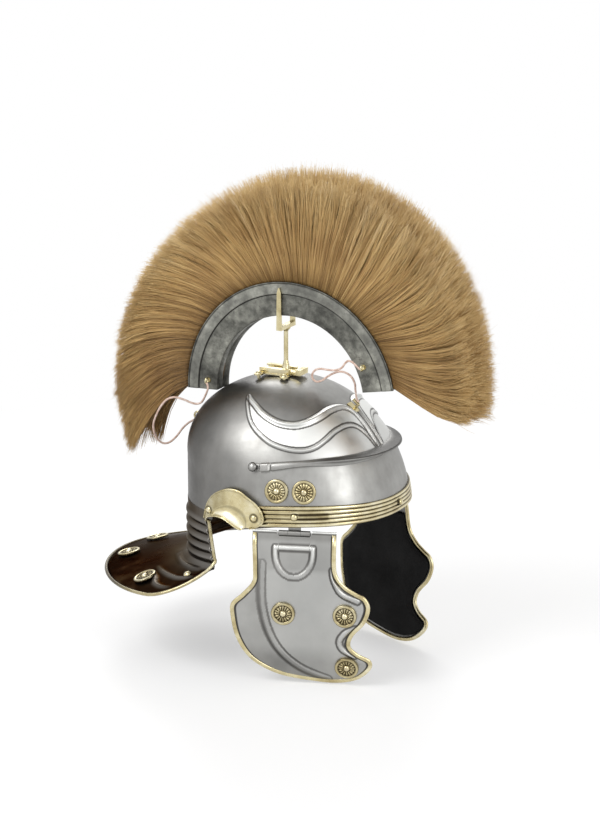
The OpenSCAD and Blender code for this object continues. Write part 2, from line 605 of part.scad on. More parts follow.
// Leaf with the two outer knuckles, riveted behind the guard's upper edge
module cheek_hinge_leaf() at_hinge() difference() {
    side_len = (hinge_len - mid_len) / 2 - end_gap;
    union() {
        for (s = [-1, 1]) knuckle(s > 0 ? mid_len / 2 + end_gap : -hinge_len / 2, side_len);
        for (s = [-1, 1]) translate([s > 0 ? mid_len / 2 + end_gap : -hinge_len / 2, cheek_leaf_y, -plate_top - 3])
            cube([side_len, leaf_t, plate_top + 3]);
        translate([-hinge_len / 2, cheek_leaf_y, -cheek_leaf_h - plate_top])
            cube([hinge_len, leaf_t, cheek_leaf_h]);
    }
    rotate([0, 90, 0]) cylinder(d = pin_d + 2 * pin_gap, h = 2 * hinge_len, center = true);
    for (p = cheek_leaf_rivets) translate([p[0], 0, -p[1]]) rotate([90, 0, 0]) rivet_hole(20);
}
cheek_leaf_y = cheek_t + seat + 0.1;
module cheek_hinge_leaf_right() color(steel) cheek_hinge_leaf();
module cheek_hinge_leaf_left() color(steel) left_side() cheek_hinge_leaf();

module cheek_rosette_set() at_hinge() {
    for (p = cheek_rosettes) on_cheek(p[0], p[1], 0.2) rosette(cheek_t + 0.4);
    for (p = cheek_leaf_rivets) on_cheek(p[0], p[1], 0.1) rivet(cheek_t + seat + leaf_t + 0.6, head = 4.5);
}
module cheek_rosettes_right() color(brass) cheek_rosette_set();
module cheek_rosettes_left() color(brass) left_side() cheek_rosette_set();

/* Crest holder on the crown: a plate with two folded guides, and a slider between them */
holder_rivet_x = [-34, -6];
holder_rivet_y = 15;
holder_z = bowl_top + 0.3;
holder_t = 1.4;
guide_len = 32;
guide_mid = (holder_rivet_x[0] + holder_rivet_x[1]) / 2;
slider_t = 3;
guide_gap = 0.25;
module crest_holder() color(brass) difference() {
    union() {
        translate([guide_mid - guide_len / 2, -slider_w / 2 - 3, holder_z]) cube([guide_len, slider_w + 6, holder_t]);
        for (x = holder_rivet_x, s = [-1, 1]) translate([x, s * holder_rivet_y, holder_z])
            cylinder(d = 9, h = holder_t);
        for (s = [-1, 1]) translate([guide_mid - guide_len / 2, s * (slider_w / 2 + guide_gap + 0.9) - 0.9, holder_z])
            cube([guide_len, 1.8, holder_t + slider_t + 2 * guide_gap + holder_t]);
        for (s = [-1, 1]) translate([guide_mid - guide_len / 2, s * (slider_w / 2 - 1) - 2,
            holder_z + holder_t + slider_t + 2 * guide_gap]) cube([guide_len, 4, holder_t]);
    }
    for (x = holder_rivet_x, y = [-holder_rivet_y, holder_rivet_y]) translate([x, y, bowl_top]) rivet_hole(30);
}
module crest_holder_rivets() color(brass) for (x = holder_rivet_x, y = [-holder_rivet_y, holder_rivet_y])
    translate([x, y, holder_z + holder_t]) rivet(9);

slider_z = holder_z + holder_t + guide_gap;
slider_front = fork_x + slider_len * 0.55;
module crest_slider() color(brass) difference() {
    union() {
        translate([slider_front - slider_len, -slider_w / 2, slider_z]) cube([slider_len, slider_w, slider_t]);
        translate([slider_front - 5, -slider_w / 2, slider_z]) cube([5, slider_w, slider_t + 2.5]);
    }
    translate([fork_x, 0, slider_z - 1]) cylinder(d = rod_d + 2 * rivet_gap, h = slider_t + 2);
    translate([slider_front - 13, -1, slider_z + slider_t - 0.8]) cube([7, 2, 2]);
}

/* Fork: a rod with a flared foot, a yoke under the box and two flat prongs beside it */
box_band = 0.8;
band_in = crest_out - 12;
prong_t = 1.6;
prong_in = crest_w / 2 + box_band + seat;
yoke_t = 4;
module crest_fork() color(brass) {
    translate([fork_x, 0, slider_z]) cylinder(d = rod_d, h = yoke_z - slider_z + 1);
    translate([fork_x, 0, slider_z + slider_t + 0.1]) cylinder(r1 = rod_d, r2 = rod_d / 2, h = 9);
    translate([fork_x, 0, yoke_z - 3]) cylinder(r1 = rod_d / 2, r2 = rod_d, h = 3);
    translate([fork_x - 2.8, -prong_in - prong_t, yoke_z]) cube([5.6, 2 * (prong_in + prong_t), yoke_t]);
    for (s = [-1, 1]) translate([fork_x, s * (prong_in + prong_t / 2) + prong_t / 2, yoke_z]) rotate([90, 0, 0])
        linear_extrude(prong_t) polygon([[-2.8, 0], [2.8, 0], [2.2, prong_z - yoke_z - 5],
            [0.6, prong_z - yoke_z], [-0.6, prong_z - yoke_z], [-2.2, prong_z - yoke_z - 5]]);
}

/* Crest box: an open channel bent to an arch, with a raised band along its outer edge */
module crest_arc(a0, a1) translate([-crest_back, 0, crest_z]) rotate([90, 0, 0]) rotate([0, 0, a0])
    rotate_extrude(angle = a1 - a0, $fn = 96) children();
module crest_box() color(zinc) difference() {
    half = crest_w / 2;
    proud = half + box_band;
    union() {
        crest_arc(crest_front_angle, crest_rear_angle) polygon([[crest_in, -half], [band_in, -half],
            [band_in, -proud], [crest_out, -proud], [crest_out, -half + box_t], [crest_in + box_t, -half + box_t],
            [crest_in + box_t, half - box_t], [crest_out, half - box_t], [crest_out, proud], [band_in, proud],
            [band_in, half], [crest_in, half]]);
        for (a = [crest_front_angle + 0.2, crest_rear_angle - 1.2]) crest_arc(a, a + 1)
            translate([crest_in + box_t / 2, -half + box_t / 2])
            square([crest_out - crest_in - box_t, crest_w - box_t]);
    }
    for (e = [eyelet_front, eyelet_rear]) at_eyelet(e)
        translate([0, 0, -5]) cylinder(d = 2 + 2 * rivet_gap, h = 10);
}

// Eyelets for the ties on the box's right wall, as angles and shares of the way out to the raised band
eyelet_front = [26, 3 / 7];
eyelet_rear = [176, 10 / 21];
module at_eyelet(e) let(r = mix(crest_in, band_in, e[1]))
    translate([-crest_back + r * cos(e[0]), -crest_w / 2, crest_z + r * sin(e[0])]) rotate([90, 0, 0]) children();
module eyelet() {
    translate([0, 0, -box_t - 0.2]) cylinder(d = 2, h = box_t + 1);
    translate([0, 0, 0.2]) cylinder(d = 5, h = 0.8);
    translate([0, 0, 3.6]) rotate([90, 0, 90]) rotate_extrude() translate([2.6, 0]) circle(r = 0.9, $fn = 24);
}
module crest_eyelet_front() color(brass) at_eyelet(eyelet_front) eyelet();
module crest_eyelet_rear() color(brass) at_eyelet(eyelet_rear) eyelet();

/* Plume: hair locks that grow from a slice of root block in the box */
plume_parts = 8;
locks_along = 6;
locks_across = 7;
root_in = crest_in + box_t + seat;
root_out = crest_out - 1;
root_half = crest_w / 2 - box_t - seat;
hair_a0 = crest_front_angle + 1.4;
hair_a1 = crest_rear_angle - 1.4;
slice_gap = 0.12;
function hair_tip_r(a) = hair_out + hair_front * pow(max(0, cos(0.9 * (a - 60))), 3);
function hair_sweep(a) = a < 75 ? -11 * pow((75 - a) / 63, 1.5) : 24 * pow((a - 75) / 107, 1.5);
// Point of the hair at a root angle, a place across and a share of the length
function hair_at(a, h, s) = let(b = a + hair_sweep(a) * pow(s, 1.3),
    r = mix(root_out, hair_tip_r(a + hair_sweep(a)), s), y = h * mix(root_half, hair_spread, s))
    [-crest_back + r * cos(b), y, crest_z + r * sin(b)];
module plume(k) color(hair) {
    span = (hair_a1 - hair_a0) / plume_parts;
    a0 = hair_a0 + (k - 1) * span + slice_gap;
    a1 = hair_a0 + k * span - slice_gap;
    na = locks_along;
    nb = locks_across;
    stride = nb + 1;
    ang = function (i) mix(a0, a1, i / na);
    side = function (j) -1 + 2 * j / nb;
    roots = [for (i = [0 : na], j = [0 : nb]) hair_at(ang(i), side(j), 0)];
    base = [for (i = [0 : na], j = [0, nb]) let(a = ang(i))
        [-crest_back + root_in * cos(a), side(j) * root_half, crest_z + root_in * sin(a)]];
    ring = [for (i = [0 : na - 1], j = [0 : nb - 1], s = [0.42, 0.85], c = [[0, 0], [0, 1], [1, 1], [1, 0]])
        let(w = s < 0.5 ? 0.95 : 0.8, i1 = i + 0.5 + (c[0] - 0.5) * w, j1 = j + 0.5 + (c[1] - 0.5) * w)
        hair_at(ang(i1), side(j1), s)];
    tips = [for (i = [0 : na - 1], j = [0 : nb - 1])
        hair_at(ang(i + 0.5), side(j + 0.5), 1 - 0.07 * ((3 * i + 5 * j) % 4) / 3 - 0.05 * pow(side(j + 0.5), 2))];
    b0 = len(roots);
    r0 = b0 + len(base);
    t0 = r0 + len(ring);
    root = function (i, j) i * stride + j;
    low = function (i, j) b0 + 2 * i + j;
    faces = concat(
        [for (i = [0 : na - 1], j = [0 : nb - 1]) let(
            q = [root(i, j), root(i, j + 1), root(i + 1, j + 1), root(i + 1, j)], p = r0 + 8 * (i * nb + j))
            each [for (c = [0 : 3]) let(d = (c + 1) % 4) each concat(quad(q[d], p + d, p + c, q[c]),
                quad(p + d, p + 4 + d, p + 4 + c, p + c), [[p + 4 + d, t0 + i * nb + j, p + 4 + c]])]],
        [for (i = [0 : na - 1]) each quad(low(i, 0), low(i + 1, 0), low(i + 1, 1), low(i, 1))],
        [for (i = [0 : na - 1]) each quad(root(i, 0), root(i + 1, 0), low(i + 1, 0), low(i, 0))],
        [for (i = [0 : na - 1]) each quad(root(i + 1, nb), root(i, nb), low(i, 1), low(i + 1, 1))],
        [concat([for (j = [nb : -1 : 0]) root(0, j)], [low(0, 0), low(0, 1)])],
        [concat([for (j = [0 : nb]) root(na, j)], [low(na, 1), low(na, 0)])]);
    polyhedron(concat(roots, base, ring, tips), [for (f = faces) [for (i = [len(f) - 1 : -1 : 0]) f[i]]]);
}

/* Fittings on the bowl for the ties */
hook_z = 99;
module front_hook() color(brass) on_skin(0, hook_z, seat) {
    translate([-4, -6, 0]) cube([8, 12, 1.4]);
    translate([0, -2, 1]) cylinder(d = 3, h = 6);
    translate([0, -2, 7]) rotate([-90, 0, 0]) cylinder(d = 3, h = 7);
    translate([0, -2, 7]) sphere(d = 3);
}
ring_z = 68;
module rear_ring() color(brass) on_skin(180, ring_z, seat) {
    cylinder(d = 9, h = 1.2);
    cylinder(d = 2.4, h = 3);
    translate([0, 0, 6.2]) rotate([90, 0, 90]) rotate_extrude() translate([4, 0]) circle(r = 1, $fn = 24);
}

/* Thong ties */
tie_d = 2.4;
front_tie_path = [
    [77, -18, 143], [73.5, -19.5, 146.9], [69.7, -19.5, 149.6], [65.2, -19, 150.2], [61.4, -18.5, 147.2],
    [57.4, -18, 142.2], [50.4, -17.5, 139], [41.5, -17, 138.4], [33.9, -16.5, 138.3], [28.1, -16, 136],
    [24.7, -15.5, 131.3], [25.5, -15, 126.5], [29.4, -14.5, 124.6], [34.5, -14, 126.3], [40.3, -13.5, 130.7],
    [46.2, -13, 134.4], [52.8, -12, 136.8], [59.2, -11, 135.9], [64.3, -9.5, 131.8], [66.3, -7, 125.1],
    [65.5, -4, 117.4], [66, -2, 108.5], [68, -1, 106.5]];
rear_tie_path = [
    [-91, -17, 109.4], [-88.5, -19.3, 104.6], [-92.7, -18.5, 95.2], [-98.3, -16, 88.3], [-104.3, -15.5, 86.2],
    [-110.2, -17, 87.4], [-116, -20, 90.2], [-123.9, -23.5, 92.3], [-131.1, -26, 89.8], [-137.3, -27, 82.9],
    [-142.8, -27, 73.4], [-147.6, -25, 63.5], [-149.1, -22, 53.6], [-147.7, -18, 45.1], [-143.4, -14, 40.4],
    [-137.8, -10.5, 41.4], [-131.7, -7.5, 47.5], [-126.8, -4.5, 55.2], [-123, -0.5, 60], [-119, 2.2, 63],
    [-115, 2.6, 65]];
module tie(path) sweep_rings(tube_rings(spline(path, 4), tie_d, 8));
module front_tie() color(thong) tie(front_tie_path);
module rear_tie() color(thong) tie(rear_tie_path);

bowl();
leather_liner();
brow_guard();
brow_guard_rivets();
brow_band();
brow_band_rivets();
ear_guard_right();
ear_guard_left();
ear_guard_rivets();
neck_guard_edging();
edging_rivets();
bowl_rosettes();
neck_guard_rosettes();
hinge_leaf_right();
hinge_leaf_left();
hinge_pin_right();
hinge_pin_left();
cheek_guard_right();
cheek_guard_left();
cheek_piping_right();
cheek_piping_left();
cheek_lining_right();
cheek_lining_left();
cheek_hinge_leaf_right();
cheek_hinge_leaf_left();
cheek_rosettes_right();
cheek_rosettes_left();
crest_holder();
crest_holder_rivets();
crest_slider();
crest_fork();
crest_box();
crest_eyelet_front();
crest_eyelet_rear();
front_hook();
rear_ring();
front_tie();
rear_tie();
plume(1);  // plume_1
plume(2);  // plume_2
plume(3);  // plume_3
plume(4);  // plume_4
plume(5);  // plume_5
plume(6);  // plume_6
plume(7);  // plume_7
plume(8);  // plume_8
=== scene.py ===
"""Iron and brass helmet with a horsehair crest: the looks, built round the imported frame.

Shapes are worked out in millimetres with numpy and stored in metres. +X is the wearer's front, +Y the
wearer's left and +Z up, with the origin in the middle of the head opening, level with the ears. Angles on
the bowl are in degrees from straight ahead, and turn towards the wearer's left.
"""

import json
import math

import bpy
import numpy as np
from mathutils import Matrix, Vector

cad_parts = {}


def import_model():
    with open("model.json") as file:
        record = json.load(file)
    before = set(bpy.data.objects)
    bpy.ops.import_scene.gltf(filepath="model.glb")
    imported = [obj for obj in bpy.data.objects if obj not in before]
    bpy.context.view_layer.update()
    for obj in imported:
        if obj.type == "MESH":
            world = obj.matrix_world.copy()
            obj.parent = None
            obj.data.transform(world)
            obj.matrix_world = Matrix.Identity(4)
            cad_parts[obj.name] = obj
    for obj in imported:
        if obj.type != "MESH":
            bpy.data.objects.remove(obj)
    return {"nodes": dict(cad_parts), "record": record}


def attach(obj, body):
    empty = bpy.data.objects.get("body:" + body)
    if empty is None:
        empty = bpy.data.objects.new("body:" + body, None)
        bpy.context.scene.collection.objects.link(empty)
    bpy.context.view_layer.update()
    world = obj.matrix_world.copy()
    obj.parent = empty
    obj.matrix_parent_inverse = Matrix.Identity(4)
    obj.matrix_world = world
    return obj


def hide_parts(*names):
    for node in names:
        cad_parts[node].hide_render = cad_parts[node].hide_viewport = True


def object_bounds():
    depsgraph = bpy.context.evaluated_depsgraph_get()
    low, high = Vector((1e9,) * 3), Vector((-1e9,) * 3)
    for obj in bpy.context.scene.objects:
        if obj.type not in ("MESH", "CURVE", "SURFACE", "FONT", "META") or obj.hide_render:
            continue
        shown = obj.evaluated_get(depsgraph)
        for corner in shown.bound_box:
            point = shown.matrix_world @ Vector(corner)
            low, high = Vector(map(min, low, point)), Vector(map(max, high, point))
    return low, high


MM = 0.001
RIGHT, LEFT = 1, -1
SIDES = {"right": RIGHT, "left": LEFT}

# The bowl, as in the part's source
BOWL_FRONT, BOWL_REAR, BOWL_SIDE, BOWL_TOP = 111, 106, 98, 124
CROWN_BACK, PLAN_POWER, REAR_WALL, SHEET = 8, 2.2, 50, 1.4
RIM_LOW, RIM_RISE = -2, 5.6
EAR_ANGLE, EAR_TOP, EAR_HALF = 104, 14, 12
NAPE_ANGLE, RIDGES, RIDGE_PITCH, RIDGE_HIGH, NAPE_LEAN, WALL_TOP = 120, 5, 10, 1.8, 0.09, -4
GUARD_REACH, GUARD_SIDE, GUARD_DROP, GUARD_MID, GUARD_TURN = 200, 128, 80, 50, 46
GUARD_SWEEP, GUARD_RISE, GUARD_DIP = 92, 17, 6
GUARD_T, GUARD_TOP, EDGING_W, EDGING_T = 1.8, 3.6, 3.4, 3.2
BAND_HIGH, BAND_RIBS, BAND_T, BAND_END, SEAT = 21, 5, 1.6, 84, 0.3
PEAK_SIDE, PEAK_FRONT, PEAK_REACH, PEAK_END = 56, 64, 13.5, 83
ROSETTE_D, PETALS = 23, 16

# The ear guard, right side, as angles and heights from the rear end forwards: its rim, its bend, and its
# lip's edge with the lip's share of its full reach
EAR_RIM = [[-119.5, -2], [-116.5, 14.8], [-111, 26], [-102.2, 33.5], [-94.2, 33.2], [-88.5, 28], [-83.2, 22],
           [-80, 13.5], [-79.6, 6], [-82.5, 0.8], [-88, -2.2]]
EAR_BEND = [[-118.3, -3.5], [-115.5, 3], [-112, 8.5], [-107.5, 13.8], [-102.5, 17], [-98.5, 17.2],
            [-95, 15.8], [-92.4, 13], [-90.6, 9], [-90, 4], [-90.4, -2]]
EAR_EDGE = [[-118.5, -4.5, 0.05], [-116.5, -0.5, 0.25], [-113.5, 2.8, 0.55], [-110, 5.2, 0.8],
            [-106.5, 6.6, 0.95], [-102.5, 6.3, 1], [-99.2, 4, 1], [-96, 1, 1], [-93.8, -1, 0.95],
            [-92.5, -2.2, 0.8], [-91.8, -3, 0.5]]
EAR_LIP, EAR_T = 8, 1.2
EAR_FACE = SEAT + BAND_T + 1.2 + EAR_T
EAR_RIVETS = [(-85.5, 8.5), (-115.3, 7.5)]

# The cheek guards
HINGE_X, HINGE_Z, HINGE_TOE = 45, -4, 20
HINGE_Y = BOWL_SIDE * (1 - (HINGE_X / BOWL_FRONT) ** PLAN_POWER) ** (1 / PLAN_POWER) - SHEET - 0.4
CHEEK_BOW, CHEEK_MID, CHEEK_T = 280, 60, 1.2
PLATE_TOP, TOP_HALF, PIPING_W, PIPING_T = 2.95, 40, 4.4, 3.2
STRIP_TOP, STRIP_START, PIPING_TOP = -2.2, 16.6, 0.6
CHEEK_POINTS = [[41, 36], [49, 48], [60, 55], [69, 60], [73, 71], [68, 86], [57, 99], [54, 110], [61, 118],
                [73, 125], [73, 135], [60, 147], [41, 152], [17, 151], [-16, 145], [-42, 130], [-56, 107],
                [-61, 82], [-60, 70], [-50, 60], [-40, 48], [-39, 36]]
CHEEK_ROSETTES = [(-10, 78), (49, 78), (50, 133)]

# The crest
CREST_BACK, CREST_Z, CREST_IN, CREST_OUT, CREST_W, BOX_T = 2, 105, 80, 113, 24, 1.2
CREST_FRONT_ANGLE, CREST_REAR_ANGLE = 10, 182
HAIR_ROOT, HAIR_OUT, HAIR_FRONT, HAIR_SPREAD = CREST_OUT - 1, 202, 34, 26
PLUME_PARTS, PLUME_GAP, HAIR_PARTING = 8, 1.4, 75

FRONT_TIE = [[77, -18, 143], [73.5, -19.5, 146.9], [69.7, -19.5, 149.6], [65.2, -19, 150.2],
             [61.4, -18.5, 147.2], [57.4, -18, 142.2], [50.4, -17.5, 139], [41.5, -17, 138.4],
             [33.9, -16.5, 138.3], [28.1, -16, 136], [24.7, -15.5, 131.3], [25.5, -15, 126.5],
             [29.4, -14.5, 124.6], [34.5, -14, 126.3], [40.3, -13.5, 130.7], [46.2, -13, 134.4],
             [52.8, -12, 136.8], [59.2, -11, 135.9], [64.3, -9.5, 131.8], [66.3, -7, 125.1],
             [65.5, -4, 117.4], [66, -2, 108.5], [68, -1, 106.5]]
REAR_TIE = [[-91, -17, 109.4], [-88.5, -19.3, 104.6], [-92.7, -18.5, 95.2], [-98.3, -16, 88.3],
            [-104.3, -15.5, 86.2], [-110.2, -17, 87.4], [-116, -20, 90.2], [-123.9, -23.5, 92.3],
            [-131.1, -26, 89.8], [-137.3, -27, 82.9], [-142.8, -27, 73.4], [-147.6, -25, 63.5],
            [-149.1, -22, 53.6], [-147.7, -18, 45.1], [-143.4, -14, 40.4], [-137.8, -10.5, 41.4],
            [-131.7, -7.5, 47.5], [-126.8, -4.5, 55.2], [-123, -0.5, 60], [-119, 2.2, 63], [-115, 2.6, 65]]
TIE_D, TIE_DRAWN = 2.4, 0.86

rng = np.random.default_rng(7)


# ---- small helpers ----

def mix(a, b, s):
    """Straight blend from a to b."""
    return a + (b - a) * s


def smooth(s):
    """Cubic step from 0 to 1, level at both ends."""
    c = np.clip(s, 0, 1)
    return c * c * (3 - 2 * c)


def unit(v):
    """Vectors of length 1 along the last axis."""
    return v / np.maximum(np.linalg.norm(v, axis=-1, keepdims=True), 1e-9)


def cosd(a):
    return np.cos(np.radians(a))


def sind(a):
    return np.sin(np.radians(a))


def xyz(x, y, z):
    """Points from three coordinate arrays."""
    return np.stack(np.broadcast_arrays(x, y, z), axis=-1).astype(float)


def spline(points, steps):
    """Catmull-Rom curve through the points, with steps pieces between neighbours."""
    p = np.asarray(points, float)
    grown = np.concatenate([p[:1], p, p[-1:]])
    s = (np.arange(steps) / steps)[None, :, None]
    a, b, c, d = (grown[i:i + len(p) - 1][:, None, :] for i in range(4))
    curve = 0.5 * (2 * b + (c - a) * s + (2 * a - 5 * b + 4 * c - d) * s ** 2
                   + (3 * b - a - 3 * c + d) * s ** 3)
    return np.concatenate([curve.reshape(-1, p.shape[1]), p[-1:]])


def near_line(p, line):
    """Distance from each point to a polyline, and how far along it the nearest place is, from 0 to 1."""
    line = np.asarray(line, float)
    best = np.full(p.shape[:-1], np.inf)
    along = np.zeros(p.shape[:-1])
    spans = len(line) - 1
    for i in range(spans):
        a, d = line[i], line[i + 1] - line[i]
        t = np.clip(((p - a) @ d) / max(d @ d, 1e-9), 0, 1)
        gap = np.linalg.norm(p - a - t[..., None] * d, axis=-1)
        nearer = gap < best
        best = np.where(nearer, gap, best)
        along = np.where(nearer, (i + t) / spans, along)
    return best, along


def bump(gap, half):
    """Rounded ridge across its width: 1 on its line, 0 at half its width, level at both."""
    return np.clip(1 - (gap / half) ** 2, 0, 1) ** 2


# ---- meshes ----

def grid_faces(rows, cols, start=0, wrap=False, flip=False):
    """Quads of a grid of rows by cols points, each column joined to the next, and the last to the first."""
    i = np.arange(rows - 1)[:, None]
    j = np.arange(cols if wrap else cols - 1)[None, :]
    k = (j + 1) % cols
    quads = np.stack(np.broadcast_arrays(i * cols + j, i * cols + k, (i + 1) * cols + k, (i + 1) * cols + j),
                     axis=-1).reshape(-1, 4) + start
    return quads[:, ::-1] if flip else quads


def linked(name, data):
    """A new object in the scene."""
    obj = bpy.data.objects.new(name, data)
    bpy.context.scene.collection.objects.link(obj)
    return obj


def add_mesh(name, points, faces, body, slot, node, tone=None, material=None):
    """A finished piece at the origin, from points in millimetres, that stands for a CAD node on its body."""
    mesh = bpy.data.meshes.new(name)
    mesh.from_pydata((np.asarray(points).reshape(-1, 3) * MM).tolist(), [], faces)
    mesh.validate()
    mesh.polygons.foreach_set("use_smooth", np.ones(len(mesh.polygons), bool))
    if tone is not None:
        layer = mesh.attributes.new("tone", "FLOAT", "POINT")
        layer.data.foreach_set("value", np.asarray(tone, np.float32).ravel())
    mesh.materials.append(material or FINISHES[slot])
    obj = linked(name, mesh)
    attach(obj, body)
    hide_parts(node)
    return obj


def shell(outer, inner, wrap=False, flip=False):
    """Points and faces of the closed solid between two grids, with walls along their open edges.

    Rows go up and columns go anticlockwise, seen from above, so the outer grid faces outwards.
    """
    rows, cols = outer.shape[:2]
    n = rows * cols
    points = np.concatenate([outer.reshape(-1, 3), inner.reshape(-1, 3)])
    parts = [grid_faces(rows, cols, 0, wrap, flip), grid_faces(rows, cols, n, wrap, not flip)]
    j = np.arange(cols if wrap else cols - 1)
    k = (j + 1) % cols
    top = (rows - 1) * cols
    walls = [np.stack([k, j, n + j, n + k], axis=-1),
             np.stack([top + j, top + k, n + top + k, n + top + j], axis=-1)]
    if not wrap:
        p = np.arange(rows - 1) * cols
        q = p + cols - 1
        walls += [np.stack([p, p + cols, n + p + cols, n + p], axis=-1),
                  np.stack([q + cols, q, n + q, n + q + cols], axis=-1)]
    parts += [w[:, ::-1] if flip else w for w in walls]
    return points, np.concatenate(parts).tolist()


def add_sheet(name, outer, inner, body, slot, node, tone=None, back=0.0, wrap=False, flip=False, **more):
    """A closed sheet between two grids, with its tone on the outer one and one tone all over the inner."""
    points, faces = shell(outer, inner, wrap, flip)
    if tone is not None:
        tone = np.append(tone, np.full(outer.size // 3, back))
    add_mesh(name, points, faces, body, slot, node, tone, **more)


def loft_faces(rows, cols, start=0, flip=False):
    """Faces of a closed loft: the grid between its rings, and a cap on its first and its last ring."""
    last = start + (rows - 1) * cols
    caps = [list(range(start, start + cols))[::-1], list(range(last, last + cols))]
    return grid_faces(rows, cols, start, True, flip).tolist() + [c[::-1] if flip else c for c in caps]


def grid_normals(points):
    """Unit normals of a grid of points, from its own rows and columns."""
    return unit(np.cross(np.gradient(points, axis=1), np.gradient(points, axis=0)))


def sweep(path, profile, side):
    """A closed profile carried along an open path.

    Each profile point (u, v) is set u times the side vector and v times the normal out from the path, where
    the normal is the path's direction crossed with the side.
    """
    ahead = unit(np.gradient(path, axis=0))
    side = unit(side - np.sum(side * ahead, axis=1, keepdims=True) * ahead)
    up = np.cross(ahead, side)
    u, v = profile.T
    rings = path[:, None] + u[None, :, None] * side[:, None] + v[None, :, None] * up[:, None]
    return rings.reshape(-1, 3), loft_faces(*rings.shape[:2])


def ellipse(wide, high, count=16):
    """Closed ellipse profile, anticlockwise."""
    t = np.linspace(0, 2 * np.pi, count, endpoint=False)
    return np.stack([wide / 2 * np.cos(t), high / 2 * np.sin(t)], axis=-1)


def tube(path, d, sides):
    """Round tube along an open path, with a side vector that turns as little as it can."""
    ahead = unit(np.gradient(path, axis=0))
    side = np.zeros_like(path)
    side[0] = unit(np.cross(ahead[0], [0, 1, 0] if abs(ahead[0][2]) > 0.9 else [0, 0, 1]))
    for i in range(1, len(path)):
        side[i] = unit(side[i - 1] - (side[i - 1] @ ahead[i]) * ahead[i])
    return sweep(path, ellipse(d, d, sides), side)


# ---- the bowl's skin ----

def plan_r(a):
    """Superellipse radius of the bowl's plan at an angle."""
    c, s = cosd(a), sind(a)
    long = np.where(c > 0, BOWL_FRONT, BOWL_REAR)
    return ((np.abs(c) / long) ** PLAN_POWER + (np.abs(s) / BOWL_SIDE) ** PLAN_POWER) ** (-1 / PLAN_POWER)


def wall_z(a):
    """Top of the straight wall, which rises from the forehead to the back."""
    return REAR_WALL * (1 - cosd(a)) / 2


def skin_at(a, z):
    """The plan drawn in by a quarter circle above the wall, and moved back towards the crown."""
    s = np.clip((z - wall_z(a)) / (BOWL_TOP - wall_z(a)), 0, 1)
    k, r = np.sqrt(1 - s * s), plan_r(a)
    return xyz(r * cosd(a) * k - CROWN_BACK * s, r * sind(a) * k, z)


def skin_normal(a, z):
    """Outward normal, from differences of the skin round and up."""
    return unit(np.cross(skin_at(a + 1, z) - skin_at(a - 1, z), skin_at(a, z + 0.4) - skin_at(a, z - 0.4)))


def skin(a, z, off=0.0):
    """Point at a distance out from the skin."""
    a, z, off = np.broadcast_arrays(a, z, off)
    return skin_at(a, z) + off[..., None] * skin_normal(a, z)


def brow_z(a):
    """Height of the bowl's rim, rising to the forehead."""
    c = np.maximum(0, cosd(a))
    return RIM_LOW + RIM_RISE * c * (2.2 - 1.2 * c)


def band_high(a):
    """Height of the brow band, which narrows over the forehead."""
    return BAND_HIGH * (1 - 0.2 * np.maximum(0, cosd(a)) ** 4)


def band_mid(a):
    return brow_z(a) + band_high(a) / 2


def rim_z(a):
    """The rim with a round arch over each ear, and level at the nape."""
    e = (np.abs(a) - EAR_ANGLE) / EAR_HALF
    low = RIM_LOW - 2
    plain = np.where(np.abs(a) < EAR_ANGLE, brow_z(a), low)
    return np.where(np.abs(e) < 1, mix(low, EAR_TOP, np.sqrt(np.clip(1 - e * e, 0, 1))), plain)


def place(local, origin, normal, side=RIGHT):
    """Points of a small piece set on a surface, its Z along the normal and its Y up the surface."""
    n = unit(np.asarray(normal, float))
    u = unit(np.cross([0, 0, 1], n))
    v = np.cross(n, u)
    return mirrored(np.asarray(origin) + local @ np.stack([u, v, n]), side)


def mirrored(points, side):
    """The points as they are for the right side, and mirrored for the left."""
    return points * np.array([1, side, 1])


def turned_faces(faces, side):
    """Faces as they are for the right side, and with their order reversed for the left."""
    return faces if side == RIGHT else [f[::-1] for f in faces]


# ---- materials ----

def linear(rgb):
    """Scene colour from an sRGB colour of 0 to 255."""
    s = [v / 255 for v in rgb]
    return [v / 12.92 if v <= 0.04045 else ((v + 0.055) / 1.055) ** 2.4 for v in s] + [1]


